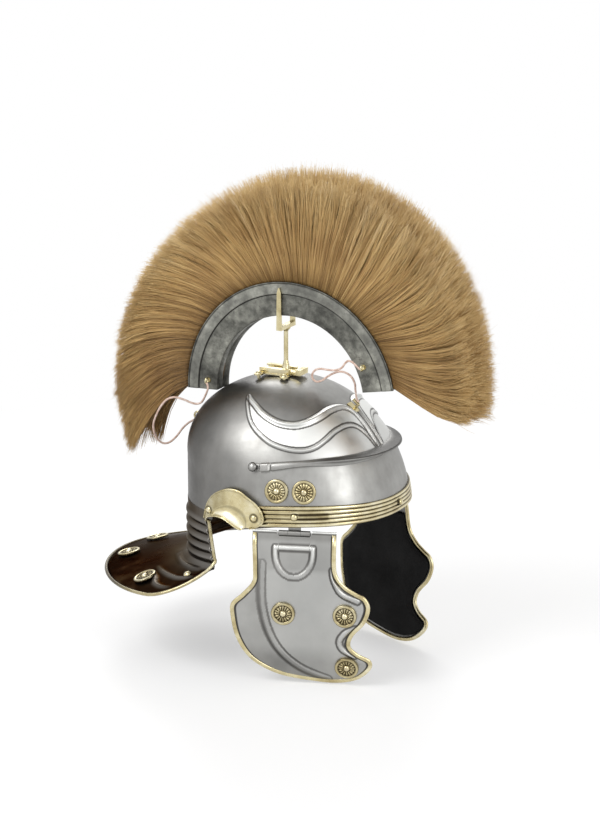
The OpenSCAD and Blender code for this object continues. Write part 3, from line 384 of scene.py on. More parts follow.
class Nodes:
    """A material's node tree, with short ways to add and join its nodes."""

    def __init__(self, name):
        self.material = bpy.data.materials.new(name)
        self.material.use_nodes = True
        self.tree = self.material.node_tree
        self.shader = self.tree.nodes["Principled BSDF"]
        self.place = self.add("ShaderNodeTexCoord").outputs["Object"]

    def add(self, kind, **values):
        node = self.tree.nodes.new(kind)
        for key, value in values.items():
            if hasattr(node, key):
                setattr(node, key, value)
            else:
                node.inputs[key.replace("_", " ")].default_value = value
        return node

    def join(self, source, target):
        self.tree.links.new(source, target)

    def mapped(self, scale=(1, 1, 1), turn=(0, 0, 0)):
        node = self.add("ShaderNodeMapping")
        node.inputs["Scale"].default_value = scale
        node.inputs["Rotation"].default_value = turn
        self.join(self.place, node.inputs["Vector"])
        return node.outputs["Vector"]

    def noise(self, scale, detail=4, rough=0.55, vector=None):
        node = self.add("ShaderNodeTexNoise", Scale=scale, Detail=detail, Roughness=rough)
        self.join(self.place if vector is None else vector, node.inputs["Vector"])
        return node.outputs["Fac"]

    def ramp(self, value, *stops):
        """Colour ramp whose stops are a place and an sRGB colour."""
        node = self.add("ShaderNodeValToRGB")
        band = node.color_ramp
        for i in (0, -1):
            band.elements[i].position, band.elements[i].color = stops[i][0], linear(stops[i][1])
        for spot, colour in stops[1:-1]:
            band.elements.new(spot).color = linear(colour)
        self.join(value, node.inputs["Fac"])
        return node.outputs["Color"]

    def span(self, value, low, high, lowest=0.0, highest=1.0):
        node = self.add("ShaderNodeMapRange")
        for key, number in (("From Min", lowest), ("From Max", highest), ("To Min", low), ("To Max", high)):
            node.inputs[key].default_value = number
        self.join(value, node.inputs["Value"])
        return node.outputs["Result"]

    def blend(self, share, colour, fixed, kind="MIX"):
        """A colour blended with a fixed sRGB colour."""
        node = self.add("ShaderNodeMix", data_type="RGBA", blend_type=kind)
        self.join(share, node.inputs[0])
        self.join(colour, node.inputs[6])
        node.inputs[7].default_value = linear(fixed)
        return node.outputs[2]

    def tone(self):
        return self.add("ShaderNodeAttribute", attribute_name="tone").outputs["Fac"]

    def painted_light(self, colour, bright, dark, most=1.0, darkest=1.0):
        """The colour with a painted highlight where the tone is below 0, and painted shade where it is above.
        """
        tone = self.tone()
        colour = self.blend(self.span(tone, 0, most, 0, -1), colour, bright)
        return self.blend(self.span(tone, 0, darkest), colour, dark)

    def bump(self, height, strength, distance, below=None):
        node = self.add("ShaderNodeBump", Strength=strength, Distance=distance)
        self.join(height, node.inputs["Height"])
        if below is not None:
            self.join(below, node.inputs["Normal"])
        return node.outputs["Normal"]

    def finish(self, colour, rough, normal=None, **fixed):
        self.join(colour, self.shader.inputs["Base Color"])
        self.join(rough, self.shader.inputs["Roughness"])
        if normal is not None:
            self.join(normal, self.shader.inputs["Normal"])
        for key, value in fixed.items():
            self.shader.inputs[key.replace("_", " ")].default_value = value
        return self.material


def polished_iron():
    """Hand-polished sheet iron: slight hammered waves, hairline scratches and cloudy grey patches."""
    n = Nodes("polished_iron")
    smoke = n.noise(9, 5, 0.55)
    colour = n.ramp(smoke, (0.3, (122, 122, 120)), (0.5, (152, 151, 148)), (0.7, (184, 184, 181)))
    fine = n.noise(60, 6, 0.65, n.mapped((1, 1, 0.35)))
    colour = n.blend(n.span(fine, 0, 0.3, 0.42, 0.7), colour, (120, 118, 114))
    # Painted highlight in near-white grey and painted shade in near-black, from the piece's tone
    colour = n.painted_light(colour, (242, 243, 240), (34, 31, 28), 0.95, 0.95)
    scratch = n.noise(90, 3, 0.6, n.mapped((1, 1, 9), (0.3, 0.2, 0.1)))
    rough = n.span(n.noise(38, 4, 0.6), 0.34, 0.5, 0.3, 0.7)
    waves = n.bump(n.noise(24, 2, 0.4), 0.14, 0.004)
    return n.finish(colour, rough, n.bump(scratch, 0.05, 0.0004, waves), Metallic=1)


def iron_with_painted_dark_reflection():
    """The neck guard's polished sheet, black-brown with a painted dark reflection and a brown specular tint,
    and paler on the tops of its ridges with a painted highlight.
    """
    n = Nodes("iron_with_painted_dark_reflection")
    brown = n.ramp(n.noise(20, 5, 0.6), (0.3, (36, 30, 25)), (0.55, (56, 48, 41)), (0.75, (86, 77, 68)))
    # The tone lightens the painted dark reflection towards pale grey, as painted highlights
    colour = n.blend(n.tone(), brown, (150, 148, 144))
    rough = n.span(n.noise(34, 4, 0.6), 0.24, 0.4, 0.3, 0.7)
    scratch = n.bump(n.noise(80, 3, 0.6, n.mapped((1, 8, 1), (0, 0, 0.4))), 0.08, 0.0005)
    return n.finish(colour, rough, scratch, Metallic=1, Specular_Tint=(0.34, 0.31, 0.28, 1))


def pale_brass():
    """Polished pale brass, slightly warmer in patches and stained here and there."""
    n = Nodes("pale_brass")
    patches = n.noise(45, 4, 0.6)
    colour = n.ramp(patches, (0.3, (176, 160, 118)), (0.5, (212, 200, 158)), (0.72, (236, 229, 200)))
    stain = n.span(n.noise(26, 6, 0.7, n.mapped((1, 1, 2.4))), 0, 0.5, 0.52, 0.72)
    colour = n.blend(stain, colour, (134, 116, 76))
    # Painted highlight in near-white brass and painted shade in dark brown, from the piece's tone
    colour = n.painted_light(colour, (255, 250, 228), (44, 33, 18), darkest=0.97)
    rough = n.span(n.noise(60, 4, 0.6), 0.2, 0.36, 0.3, 0.7)
    return n.finish(colour, rough, n.bump(n.noise(160, 3, 0.5), 0.08, 0.0004), Metallic=1)


def mottled_zinc():
    """Grey sheet with a cloudy, blotched patina of pale and dark patches."""
    n = Nodes("mottled_zinc")
    cloud = n.noise(46, 9, 0.66)
    spots = n.noise(210, 6, 0.72)
    colour = n.ramp(cloud, (0.34, (62, 62, 58)), (0.46, (98, 98, 92)), (0.56, (130, 130, 122)),
                    (0.7, (176, 176, 166)))
    colour = n.blend(n.span(spots, 0, 0.7, 0.54, 0.7), colour, (62, 61, 57))
    # Painted highlight in pale grey and painted shade in near-black, from the channel's tone
    colour = n.painted_light(colour, (214, 214, 204), (34, 33, 30), darkest=0.92)
    rough = n.span(cloud, 0.62, 0.42, 0.35, 0.7)
    return n.finish(colour, rough, n.bump(spots, 0.2, 0.0006), Metallic=0.6)


def black_leather():
    """Black oiled leather with a fine pebbled grain."""
    n = Nodes("black_leather")
    cells = n.add("ShaderNodeTexVoronoi", Scale=620, feature="DISTANCE_TO_EDGE")
    n.join(n.place, cells.inputs["Vector"])
    colour = n.ramp(n.noise(50, 5, 0.6), (0.3, (11, 11, 11)), (0.7, (24, 23, 23)))
    rough = n.span(n.noise(30, 4, 0.6), 0.6, 0.78, 0.3, 0.7)
    grain = n.bump(n.span(cells.outputs["Distance"], 0, 1, 0, 0.25), 0.25, 0.0003)
    return n.finish(colour, rough, grain, Specular_IOR_Level=0.2)


def pale_thong():
    """Undyed thong, pale pinkish tan, with a fine fibre along it."""
    n = Nodes("pale_thong")
    colour = n.ramp(n.noise(220, 4, 0.6), (0.3, (184, 150, 132)), (0.55, (214, 188, 174)),
                    (0.75, (236, 220, 210)))
    rough = n.span(n.noise(120, 3, 0.6), 0.55, 0.75, 0.3, 0.7)
    return n.finish(colour, rough, n.bump(n.noise(900, 3, 0.6), 0.3, 0.0003))


def horsehair():
    """Straw-coloured hair, dark at the roots and pale at the tips, whose tone differs from hair to hair."""
    n = Nodes("horsehair")
    colour = n.ramp(n.tone(), (0.0, (78, 56, 30)), (0.28, (140, 108, 64)), (0.55, (190, 155, 99)),
                    (0.8, (218, 189, 134)), (1.0, (236, 215, 172)))
    cloud = n.span(n.noise(22, 3, 0.5), 0, 0.35, 0.45, 0.75)
    colour = n.blend(cloud, colour, (150, 108, 54), "MULTIPLY")
    rough = n.span(n.noise(300, 2, 0.5), 0.42, 0.58)
    return n.finish(colour, rough, Specular_IOR_Level=0.35)


# ---- the bowl ----

# Lines of the right eyebrow's two ridges, as angles and heights from the rear point forwards
UPPER_BROW = [[-113, 111.3], [-98, 105.8], [-88.2, 100.8], [-78, 96.2], [-69.5, 93.5], [-60, 92.6], [-52, 94],
              [-45.5, 96], [-37.2, 99], [-27.5, 102], [-16, 102.8], [-8.5, 100.8], [-4.6, 96], [-3, 88],
              [-2.6, 78], [-2.8, 66]]
LOWER_BROW = [[-113.5, 111], [-109, 107.8], [-102.8, 102.5], [-95.5, 93.8], [-89.8, 87.8], [-82.8, 82],
              [-75.8, 77.2], [-65.8, 73.5], [-56.2, 72.5], [-48.2, 74.8], [-39, 81.2], [-32.8, 85.5],
              [-26, 88], [-20.8, 88.8], [-15.8, 88.2], [-12.5, 86.5], [-9.8, 83.5], [-7.8, 79.5],
              [-6.2, 74.5], [-4.4, 66]]
# Least painted shade that is shown in place of a painted highlight
PAINTED_SHADE_SHOWS = 0.05


def brow_emboss(a, z, base):
    """Height and tone of the embossed eyebrows at points of the skin.

    A thick upper ridge and a thin lower one are rounded bumps of the distance from their lines. The field
    between them is raised, and it, the forehead below it and the ridges get a painted highlight. Painted
    shade lies beside the ridges.
    """
    upper, lower = spline(UPPER_BROW, 8), spline(LOWER_BROW, 8)
    b = -np.abs(a)
    top, foot = (np.interp(b, line[:, 0], line[:, 1]) for line in (upper, lower))
    inside = (smooth((z - foot) / 2.5) * smooth((top - z) / 2.5) * smooth((b + 113) / 3)
              * smooth((-5 - b) / 2))
    below = smooth((foot - z) / 4) * smooth((z - 62) / 6) * smooth((b + 62) / 14) * smooth((-4 - b) / 3)
    high, painted_highlight, painted_shade = 1.4 * inside, np.maximum(0.9 * inside, 0.62 * below), np.zeros_like(z)
    for side in SIDES.values():
        for line, half, rise, mark in ((upper, 4.9, 3.2, 0.8), (lower, 2.6, 1.7, 0.95)):
            gap, along = near_line(base, skin(side * line[:, 0], line[:, 1]))
            taper = 0.5 + 0.5 * np.sin(np.pi * np.clip(along, 0, 1)) ** 0.7
            swell = bump(gap, half * taper)
            high = np.maximum(high, rise * taper * swell)
            painted_shade = np.maximum(painted_shade, mark * bump(gap - half * taper, 0.9))
            painted_highlight = np.maximum(painted_highlight, 0.6 * swell)
    return high, np.where(painted_shade > PAINTED_SHADE_SHOWS, painted_shade, -painted_highlight)


def bowl_shell():
    """The raised bowl: rows close up over the eyebrows, and the embossing moves points out from the skin.

    The columns are fine in front and coarse behind. The inner face has few rows, and each crown is a fan.
    """
    a = np.concatenate([np.arange(-118.2, 118.2, 0.6), np.arange(118.2, 241.8, 4.12)])
    a = np.where(a > 180, a - 360, a)[None, :]
    share = np.concatenate([np.linspace(0, 0.5, 40)[:-1], np.linspace(0.5, 0.93, 116)[:-1],
                            np.sin(np.linspace(np.arcsin(0.93), np.pi / 2, 16))[:-1]])[:, None]
    few = np.sin(np.linspace(0, np.pi / 2, 30))[:-1, None]
    z, inner_z = (mix(rim_z(a), BOWL_TOP - 0.02, k) for k in (share, few))
    aa = np.broadcast_to(a, z.shape)
    base = skin_at(aa, z)
    high, tone = brow_emboss(aa, z, base)
    outer = base + high[..., None] * skin_normal(aa, z)
    inner = skin(a, inner_z, -SHEET)
    rows, cols = z.shape
    n, last = z.size, z.size + inner_z.size
    j = np.arange(cols)
    k = (j + 1) % cols
    top, under, tip = n - cols, last - cols, np.full(cols, last)
    faces = np.concatenate([grid_faces(rows, cols, 0, True), grid_faces(len(few), cols, n, True, True),
                            np.stack([k, j, n + j, n + k], axis=-1)]).tolist()
    faces += np.stack([top + j, top + k, tip], axis=-1).tolist()
    faces += np.stack([under + k, under + j, tip + 1], axis=-1).tolist()
    crown = [[-CROWN_BACK, 0, BOWL_TOP], [-CROWN_BACK, 0, BOWL_TOP - SHEET]]
    points = np.concatenate([outer.reshape(-1, 3), inner.reshape(-1, 3), crown])
    # Painted shade: darker towards the back on both sides and on the crown, where the brow has no painted
    # highlight
    painted_rear_and_crown_shade = (0.46 * smooth((np.abs(aa) - 92) / 42) + 0.28 * smooth((np.abs(aa) - 114) / 24)
             + 0.1 * smooth((z - 96) / 14))
    tone = np.where(tone < 0, tone, np.maximum(tone, painted_rear_and_crown_shade))
    # The inner face and its crown point are darker by 0.3; the outer crown point takes the crown's painted
    # shade of 0.1
    tone = np.concatenate([tone.ravel(), np.full(inner_z.size, 0.3), [0.1, 0.3]])
    add_mesh("bowl_shell", points, faces, "helmet", "steel", "bowl", tone)


def nape_low(a):
    """Foot of the nape's wall, a little higher at its front edges."""
    return WALL_TOP - RIDGES * RIDGE_PITCH + 7 * (np.abs(180 - a) / (180 - NAPE_ANGLE)) ** 2


def wall_share(a, z):
    """Share of the way down the nape's ridged wall."""
    return (WALL_TOP - z) / (WALL_TOP - nape_low(a))


def wall_at(a, s, off, z):
    """Point of the nape's wall, s of the way down it: its columns lean forwards as they go down."""
    b = 180 + (a - 180) * (1 + NAPE_LEAN * s)
    r = plan_r(b) + off
    return xyz(r * cosd(b), r * sind(b), z)


def wall_foot(a):
    return wall_at(a, 1, 0, nape_low(a))


def edge_at(a):
    """Outer edge of the neck guard: half an oval that rises towards the front and turns in to the wall."""
    b = 180 + (a - 180) * GUARD_SWEEP / (180 - NAPE_ANGLE)
    full = xyz(-GUARD_MID + (GUARD_REACH - GUARD_MID) * cosd(b), GUARD_SIDE * sind(b),
               -GUARD_DROP + GUARD_RISE * (1 + cosd(b)) ** 2 - GUARD_DIP * sind(b) ** 2)
    s = np.clip((np.abs(180 - a) - GUARD_TURN) / (180 - NAPE_ANGLE - GUARD_TURN), 0, None)
    return mix(wall_foot(a), full, (1 - 0.9 * s ** 2)[..., None])


# Embossed ribs and rosettes of the neck guard, as angles and shares of the way from its foot to its edge
GUARD_RIBS = [[(126, 0.5), (131, 0.47), (140, 0.44), (151, 0.42)],
              [(127, 0.12), (137, 0.12), (148, 0.12), (161, 0.12)],
              [(130, 0.8), (137, 0.72), (141, 0.6), (147, 0.52)]]
GUARD_ROSETTES = [(144, 0.68), (171, 0.79), (189, 0.79), (216, 0.68)]
RIB_HIGH, RIB_HALF = 2.2, 4.2


def guard_at(a, q):
    """Point of the guard's upper face, from the wall's foot at q = 0 to its edge at q = 1.

    It runs straight to the edge, 5 mm lower than the foot, after a bend that fades by an exponential.
    """
    foot, edge = wall_foot(a), edge_at(a)
    p = mix(foot, edge, np.asarray(q)[..., None])
    p[..., 2] = mix(foot[..., 2] - 5, edge[..., 2], q) + 5 * np.exp(-np.asarray(q) / 0.04)
    return p


def neck_guard():
    """The nape's wall with its rounded ridges, and the flared guard with embossed ribs on each side."""
    a = np.linspace(NAPE_ANGLE, 360 - NAPE_ANGLE, 151)[None, :]
    q = np.linspace(0, 1, 50)[::-1, None] ** 1.35
    qa, aa = np.broadcast_arrays(q, a)
    flat = guard_at(aa, qa)
    z = mix(GUARD_TOP, nape_low(a), np.linspace(0, 1, 64)[::-1, None])
    down = np.clip(wall_share(a, z), 0, 1)
    wave = np.sin(RIDGES * np.pi * down) ** 2
    wall = wall_at(a, down, 0.3 + RIDGE_HIGH * wave, z)
    rise = np.zeros(qa.shape)
    for rib in GUARD_RIBS:
        b, share = spline(rib, 5).T
        for angle in (b, 360 - b):
            gap, along = near_line(flat, guard_at(angle, share))
            taper = np.sin(np.pi * np.clip(along, 0, 1)) ** 0.7
            rise = np.maximum(rise, taper * bump(gap, RIB_HALF))
    flat = flat + RIB_HIGH * rise[..., None] * grid_normals(flat)
    outer = np.concatenate([flat[:-1], wall])
    inner = outer - GUARD_T * grid_normals(outer)
    # The tone lightens the painted dark reflection: painted highlights on the ribs and on the tops of the
    # wall's ridges, and a paler band near the wall's foot
    near = 0.5 * np.exp(-qa / 0.16) * smooth((140 - np.abs(180 - aa) * 2) / 60 + 0.6)
    tone = np.concatenate([np.maximum(0.5 * rise, near)[:-1], 0.3 + 0.3 * wave])
    add_sheet("neck_guard", outer, inner, "helmet", "steel", "bowl", tone, material=iron_with_painted_dark_reflection())


def liner():
    """Leather band inside the bowl between two rows of its inner face, with a rolled lower hem."""
    a = np.arange(-180, 180, 1.5)[None, :]
    low, top = (mix(rim_z(a), BOWL_TOP - 0.4, math.sin(math.pi / part)) for part in (14, 7))
    s = np.linspace(0, 1, 14)[:, None]
    z = mix(low, top, s)
    hem = 0.7 * bump(s - 0.07, 0.08) + 0.5 * bump(s - 0.93, 0.08)
    quilt = 0.25 * np.sin(np.radians(a) * 36) ** 2
    add_sheet("liner_band", skin(a, z, -SHEET - 0.9), skin(a, z, -SHEET - 2.7 - hem - quilt), "helmet",
              "leather", "leather_liner", wrap=True)


# ---- brass and iron on the bowl ----

def brow_band():
    """Ribbed band: rounded ribs round the brow, closed to the seat behind, with a painted dark reflection as
    a patch on the right.
    """
    a = np.linspace(-BAND_END, BAND_END, 225)[None, :]
    s = np.linspace(0, 1, 46)[:, None]
    z = brow_z(a) + band_high(a) * s
    ribs = np.abs(np.sin(BAND_RIBS * np.pi * s)) ** 0.6
    patch = (smooth((a + 62) / 1.5) * smooth((-45 - a) / 1.5) * smooth((s - 0.3) / 0.05)
             * smooth((0.72 - s) / 0.05))
    # Painted shade in the hollows between the ribs, a painted highlight on their crests, and the patch's
    # painted reflection
    tone = 1.4 * (1 - ribs) ** 1.1 - 0.35 * smooth((ribs - 0.9) / 0.1) + 0.5 * patch
    # Darker towards the rear on the right
    tone = tone + 0.3 * smooth((-58 - a) / 20)
    add_sheet("ribbed_band", skin(a, z, SEAT + 0.6 + 1.1 * ribs), skin(a, z, SEAT), "helmet", "brass",
              "brow_band", tone)


BAR_END, BLOCK_START, BLOCK_END, TAB_ROUND, TAB_END = 76.4, 76.6, 82.6, 84, PEAK_END + 6


def brow_guard():
    """Bar round the brow: a wedge at the sides that thins towards the front, and there a level peak.

    Past each end come a gap, a square block and a flat tab for the end rivet. The section runs from its lower
    root at -1 over its edge at 0 to its upper root at 1. The bar is half an oval, and the peak has a straight
    top and a hollow underside.
    """
    a = np.linspace(-TAB_END, TAB_END, 445)
    b = np.abs(a)
    front = np.clip(cosd(a), 0, None)
    f = smooth((front - 0.35) / 0.5)
    z = mix(PEAK_SIDE, PEAK_FRONT, smooth(1.3 * cosd(a)))
    bar = smooth((BAR_END - 0.2 - b) / 1.2)
    block = smooth((b - BLOCK_START) / 0.5) * smooth((BLOCK_END - b) / 0.5)
    wedge = mix(3.4, 1.1, smooth((76 - b) / 30))
    reach = bar * (mix(2.2, PEAK_REACH, front ** 4) - 1.1) + 1.9 * block
    low = np.where(b < BAR_END, mix(wedge + 0.5, 6.2, f), 3.4 + 0.6 * block)
    high = np.where(b < BAR_END, mix(wedge, 1.9, f), 3.2 + 0.6 * block)
    ends = np.sqrt(np.clip(1 - (np.clip(b - TAB_ROUND, 0, None) / 5.2) ** 2, 0.02, 1))
    base = 0.5 + np.maximum(0.6 * smooth((TAB_END - b) / 0.5), bar * mix(1, 0.2, f))
    n = xyz(cosd(a), sind(a), 0)
    rows, backs, tones = [], [], []
    for u in np.concatenate([np.linspace(-1, -0.03, 12), np.linspace(0.03, 1, 9)]):
        square = np.where(b < BAR_END, np.sqrt(1 - u * u), min(1, 9 * (1 - abs(u))))
        lobe = mix(square, (1 - abs(u)) ** (2.4 if u < 0 else 1), f)
        tall = (high if u > 0 else low) * ends
        drop = np.sign(u) * mix(tall * abs(u), 0.6 + (tall - 0.6) * abs(u), f)
        seat = skin(a, z + drop, SEAT)
        rows.append(seat + (base * (1 - abs(u) ** 8) + reach * lobe)[:, None] * n)
        backs.append(seat - 0.2 * n)
        # Painted dark reflection on the peak's top face, a little painted shade under it, and painted shade
        # at the bar's roots
        painted_dark_top = np.where(u > 0, 0.85 * f * (1 - u ** 8), 0.1 * f)
        tones.append(painted_dark_top + 0.5 * bar * (1 - f) * (np.abs(u) > 0.93))
    add_sheet("brow_bar", np.stack(rows), np.stack(backs), "helmet", "steel", "brow_guard", tones)


def ear_guard(word):
    """Brass plate between its rim and its bend, then a lip that turns outwards through a quarter round.

    The plate blends straight from rim to bend. On the lip the place blends from bend to edge with the sine of
    the turn, and the height off the bowl grows with one less its cosine. The rows go down from the rim, so
    the grid's own normals point inwards.
    """
    side = SIDES[word]
    rim, bend, edge = (spline(line, 12)[None] for line in (EAR_RIM, EAR_BEND, EAR_EDGE))
    q = np.append([1, 0.985, 0.965, 0.94, 0.915], np.linspace(0.88, 0.04, 24))[:, None]
    turn = np.linspace(0, 90, 19)[:, None]
    across, high = (np.concatenate([mix(b, r, q), mix(b, e, sind(turn))])
                    for b, r, e in ((bend[..., i], rim[..., i], edge[..., i]) for i in (0, 1)))
    bead = 0.75 * np.sqrt(np.clip(1 - ((1 - q) / 0.1 - 0.5) ** 2 * 4, 0, 1)) * np.ones(rim.shape[1])
    lip = EAR_LIP * edge[..., 2] * (1 - cosd(turn))
    outer = skin(across, high, EAR_FACE + np.concatenate([bead, lip]))
    inner = outer + EAR_T * grid_normals(outer)
    plate = across[:len(q)]
    base = skin(plate, high[:len(q)], EAR_FACE)
    shade = np.maximum(0.5 * bump(1 - q - 0.13, 0.04), 0.36 * smooth((-98 - plate) / 12))
    shade = np.where(shade > 0.02, shade, 0)
    for a, z in EAR_RIVETS:
        gap = np.linalg.norm(base - skin(a, z, EAR_FACE), axis=-1)
        shade = np.maximum(shade, 0.85 * bump(gap - 4, 1.4))
    # Painted shade near the lip's bend and a painted highlight further round the lip; the inner face is
    # darker by 0.3
    lip_painted_light = 0.4 * bump(turn - 8, 14) - 0.9 * bump(turn - 60, 36)
    add_sheet("ear_plate_" + word, mirrored(outer, side), mirrored(inner, side), "helmet", "brass",
              "ear_guard_" + word, np.concatenate([shade, lip_painted_light + 0 * lip]), 0.3, flip=side == RIGHT)


def guard_edging():
    """Rounded brass edging along the guard's edge and up the leaning front edges of the nape."""
    a = np.linspace(NAPE_ANGLE, 360 - NAPE_ANGLE, 181)
    edge, foot = edge_at(a), wall_foot(a)
    out = unit((edge - foot) * [1, 1, 0])
    rim = edge + 1.5 * out - [0, 0, 1]
    strips = []
    for angle, ahead in ((NAPE_ANGLE, -1), (360 - NAPE_ANGLE, 1)):
        z = np.linspace(nape_low(angle) + 1.5, WALL_TOP - 1, 14)
        s = wall_share(angle, z)
        b = 180 + (angle - 180) * (1 + NAPE_LEAN * s)
        strips.append(wall_at(angle, s, -0.7, z) + 2 * ahead * xyz(-sind(b), cosd(b), 0))
    path = spline(np.concatenate([strips[0][::-1], rim[1:-1], strips[1]]), 2)
    points, faces = sweep(path, ellipse(EDGING_W, EDGING_T, 14), unit(path - [0, 0, -40]))
    around = np.degrees(np.arctan2(points[:, 1], points[:, 0] + GUARD_MID))
    # Painted shade: the edging darkened all along, and darker still towards the rear of the guard's edge
    tone = 0.3 + 0.62 * smooth((np.abs(around) - 112) / 26) * (points[:, 2] < -50)
    add_mesh("guard_edge", points, faces, "helmet", "brass", "neck_guard_edging", tone)


DOME_R, LEAF_R = 2.9, 8.4


def rosette(painted_petal_shade=0.0):
    """A lathe-turned disc whose middle ring is cut into petals, as points, faces and tone.

    Height over the radius: a rolled rim, a hollow, petals that swell as the cosine of the turn, and a dome.
    """
    r = np.concatenate([np.linspace(0.35, 2.8, 8), np.linspace(3.2, 8.2, 12),
                        np.linspace(8.7, ROSETTE_D / 2, 11)])
    t = np.linspace(0, 2 * np.pi, PETALS * 6, endpoint=False)
    rr, tt = np.meshgrid(r, t, indexing="ij")
    petal = np.abs(np.cos(PETALS / 2 * tt)) ** 0.7
    dome = 1.4 + 2.2 * np.sqrt(np.clip(1 - (rr / DOME_R) ** 2, 0, 1))
    arch = np.sin(np.pi * np.clip((rr - DOME_R) / (LEAF_R - DOME_R), 0, 1)) ** 0.6
    rim = 0.8 + 1.3 * np.sqrt(np.clip(1 - ((rr - 10) / 1.65) ** 2, 0, 1))
    high = np.where(rr < DOME_R, dome, np.where(rr < LEAF_R, 0.7 + 1.5 * petal * arch, rim))
    # Painted shade: the petal ring darker by the given amount, in the cuts between petals, round the dome and
    # at the ring's edges; a painted highlight on the dome
    gaps = (0.12 + painted_petal_shade + 0.85 * (1 - petal) ** 1.2 + 0.65 * bump(rr - 3.2, 0.9)
            + 0.55 * bump(rr - 8.2, 0.8))
    edge = 0.14 + 0.6 * bump(rr - 8.7, 0.6) + 0.55 * smooth((rr - 10.5) / 0.8)
    tone = np.where(rr < DOME_R, -0.2, np.where(rr < LEAF_R, gaps, edge))
    top = np.stack([rr * np.cos(tt), rr * np.sin(tt), high], axis=-1)
    rows, cols = rr.shape
    points = np.concatenate([top.reshape(-1, 3), top[-1] * [1, 1, 0], [[0, 0, 3.6]]])
    last = (rows + 1) * cols
    j = np.arange(cols)
    faces = grid_faces(rows + 1, cols, 0, True, flip=True).tolist()
    faces += np.stack([j, (j + 1) % cols, np.full(cols, last)], axis=-1).tolist()
    faces += [list(range(rows * cols, last))[::-1]]
    return points, faces, np.append(tone, np.zeros(cols + 1))


def rivet(head, depth):
    """A lathe-turned rivet, as points, faces and tone: a domed head on the plate, and a shank in its hole."""
    cap, high, shank = head / 2, head * 0.3, 1.5
    curve = (cap ** 2 + high ** 2) / (2 * high)
    out = cap * np.array([0.12, 0.3, 0.5, 0.68, 0.82, 0.92, 0.98, 1])
    up = high - curve + np.sqrt(curve ** 2 - out ** 2)
    r, z = np.append(out, [shank, shank]), np.append(up, [0, -depth])
    t = np.linspace(0, 2 * np.pi, 32, endpoint=False)
    rings = xyz(r[:, None] * np.cos(t), r[:, None] * np.sin(t), z[:, None])
    rows, cols = rings.shape[:2]
    faces = grid_faces(rows, cols, 0, True, flip=True).tolist()
    faces += [list(range((rows - 1) * cols, rows * cols))[::-1]]
    faces += [[j, (j + 1) % cols, rows * cols] for j in range(cols)]
    # Painted shade with some dirt round the head's edge and on the shank, and a painted highlight in the
    # dome's middle and on its tip
    painted_shade = np.append(0.9 * smooth((out / cap - 0.72) / 0.28) - 0.3 * (out < cap / 2), [0.9, 0.9])
    return np.append(rings, [[[0, 0, high]]]).reshape(-1, 3), faces, np.append(np.repeat(painted_shade, cols), -0.3)


def bowl_seats(spots, off, sides=(RIGHT, LEFT)):
    """Place, normal and side of small pieces at angles and heights on the bowl."""
    return [(skin(a, z, off), skin_normal(a, z), side) for side in sides for a, z in spots]


def repeated(name, shape, seats, node, body="helmet", slot="brass"):
    """A small shape on each of its seats, which are a place, a normal and a side, as one piece."""
    points, faces, tone = shape
    spots, polys = [], []
    for i, (origin, normal, side) in enumerate(seats):
        spots.append(place(points, origin, normal, side))
        polys += [[v + i * len(points) for v in f] for f in turned_faces(faces, side)]
    add_mesh(name, np.concatenate(spots), polys, body, slot, node, np.tile(tone, len(seats)))


# ---- cheek guards ----

def from_hinge(points, side):
    """Points in the hinge's frame, X along its axis and -Y outwards, turned and moved to their place."""
    c, s = math.cos(math.radians(HINGE_TOE)), math.sin(math.radians(HINGE_TOE))
    turn = np.array([[c, s, 0], [-s, c, 0], [0, 0, 1]])
    return mirrored(points @ turn + [HINGE_X, -HINGE_Y, HINGE_Z], side)


def cheek_at(x, down, off):
    """Point off the bowed plate, which is part of a cylinder whose axis runs along the hinge."""
    axis_y = math.sqrt(CHEEK_BOW ** 2 - CHEEK_MID ** 2)
    turn = np.arcsin((down - CHEEK_MID) / CHEEK_BOW)
    r = CHEEK_BOW + off
    return xyz(x, axis_y - r * np.cos(turn), -CHEEK_MID - r * np.sin(turn))


def cheek_normal(down):
    """Outward normal of the bowed plate."""
    turn = np.arcsin((down - CHEEK_MID) / CHEEK_BOW)
    return xyz(0 * turn, -np.cos(turn), -np.sin(turn))


def cheek_outline(steps=8):
    """Outline from the front top corner down, round the bottom and up to the rear top corner."""
    body = spline([[TOP_HALF, 12]] + CHEEK_POINTS + [[-TOP_HALF, 12]], steps)
    return np.concatenate([[[TOP_HALF, PIPING_TOP]], body, [[-TOP_HALF, PIPING_TOP]]])


def inset(line, d):
    """An open outline moved inwards along its own normals."""
    ahead = unit(np.gradient(line, axis=0))
    return line + d * np.stack([-ahead[:, 1], ahead[:, 0]], axis=-1)


def cheek_grid(d, rows, top):
    """Grid over the plate, inset by d: rows close up towards the bottom, and each runs from rear to front.

    top holds the distance down at which each column starts. Above the piping's ends the grid is as wide as
    they are.
    """
    line = inset(cheek_outline(), d)
    low = int(np.argmax(line[:, 1]))
    front, rear = line[:low + 1], line[low:][::-1]
    t = 1 - (1 - np.linspace(0, 1, rows)[:, None]) ** 1.3
    down = mix(top, line[low, 1] - 0.02, t)
    x1 = np.interp(down, np.maximum.accumulate(front[:, 1]) + 1e-6 * np.arange(len(front)), front[:, 0])
    x0 = np.interp(down, np.maximum.accumulate(rear[:, 1]) + 1e-6 * np.arange(len(rear)), rear[:, 0])
    above = down < PIPING_TOP - 0.1
    x0, x1 = np.where(above, -TOP_HALF, x0), np.where(above, TOP_HALF, x1)
    return mix(x0, x1, np.linspace(0, 1, len(top))), down


# Lines of the cheek guard's embossing, each point as x and the distance down from the hinge
D_RING = [[18, 14], [-18, 14]] + [[18 * math.cos(math.radians(a)), 20 + 22 * math.sin(math.radians(180 - a))]
                                  for a in range(180, -1, -15)] + [[18, 14]]
REAR_RIDGE = [[-31, 30], [-31, 66], [-25, 96], [-13, 119], [6, 136], [31, 147]]
FRONT_RIDGES = [[[37, 34], [39, 44], [46, 56], [61, 63]],
                [[58, 91], [49, 96], [43.6, 105], [47, 114], [58, 120]]]


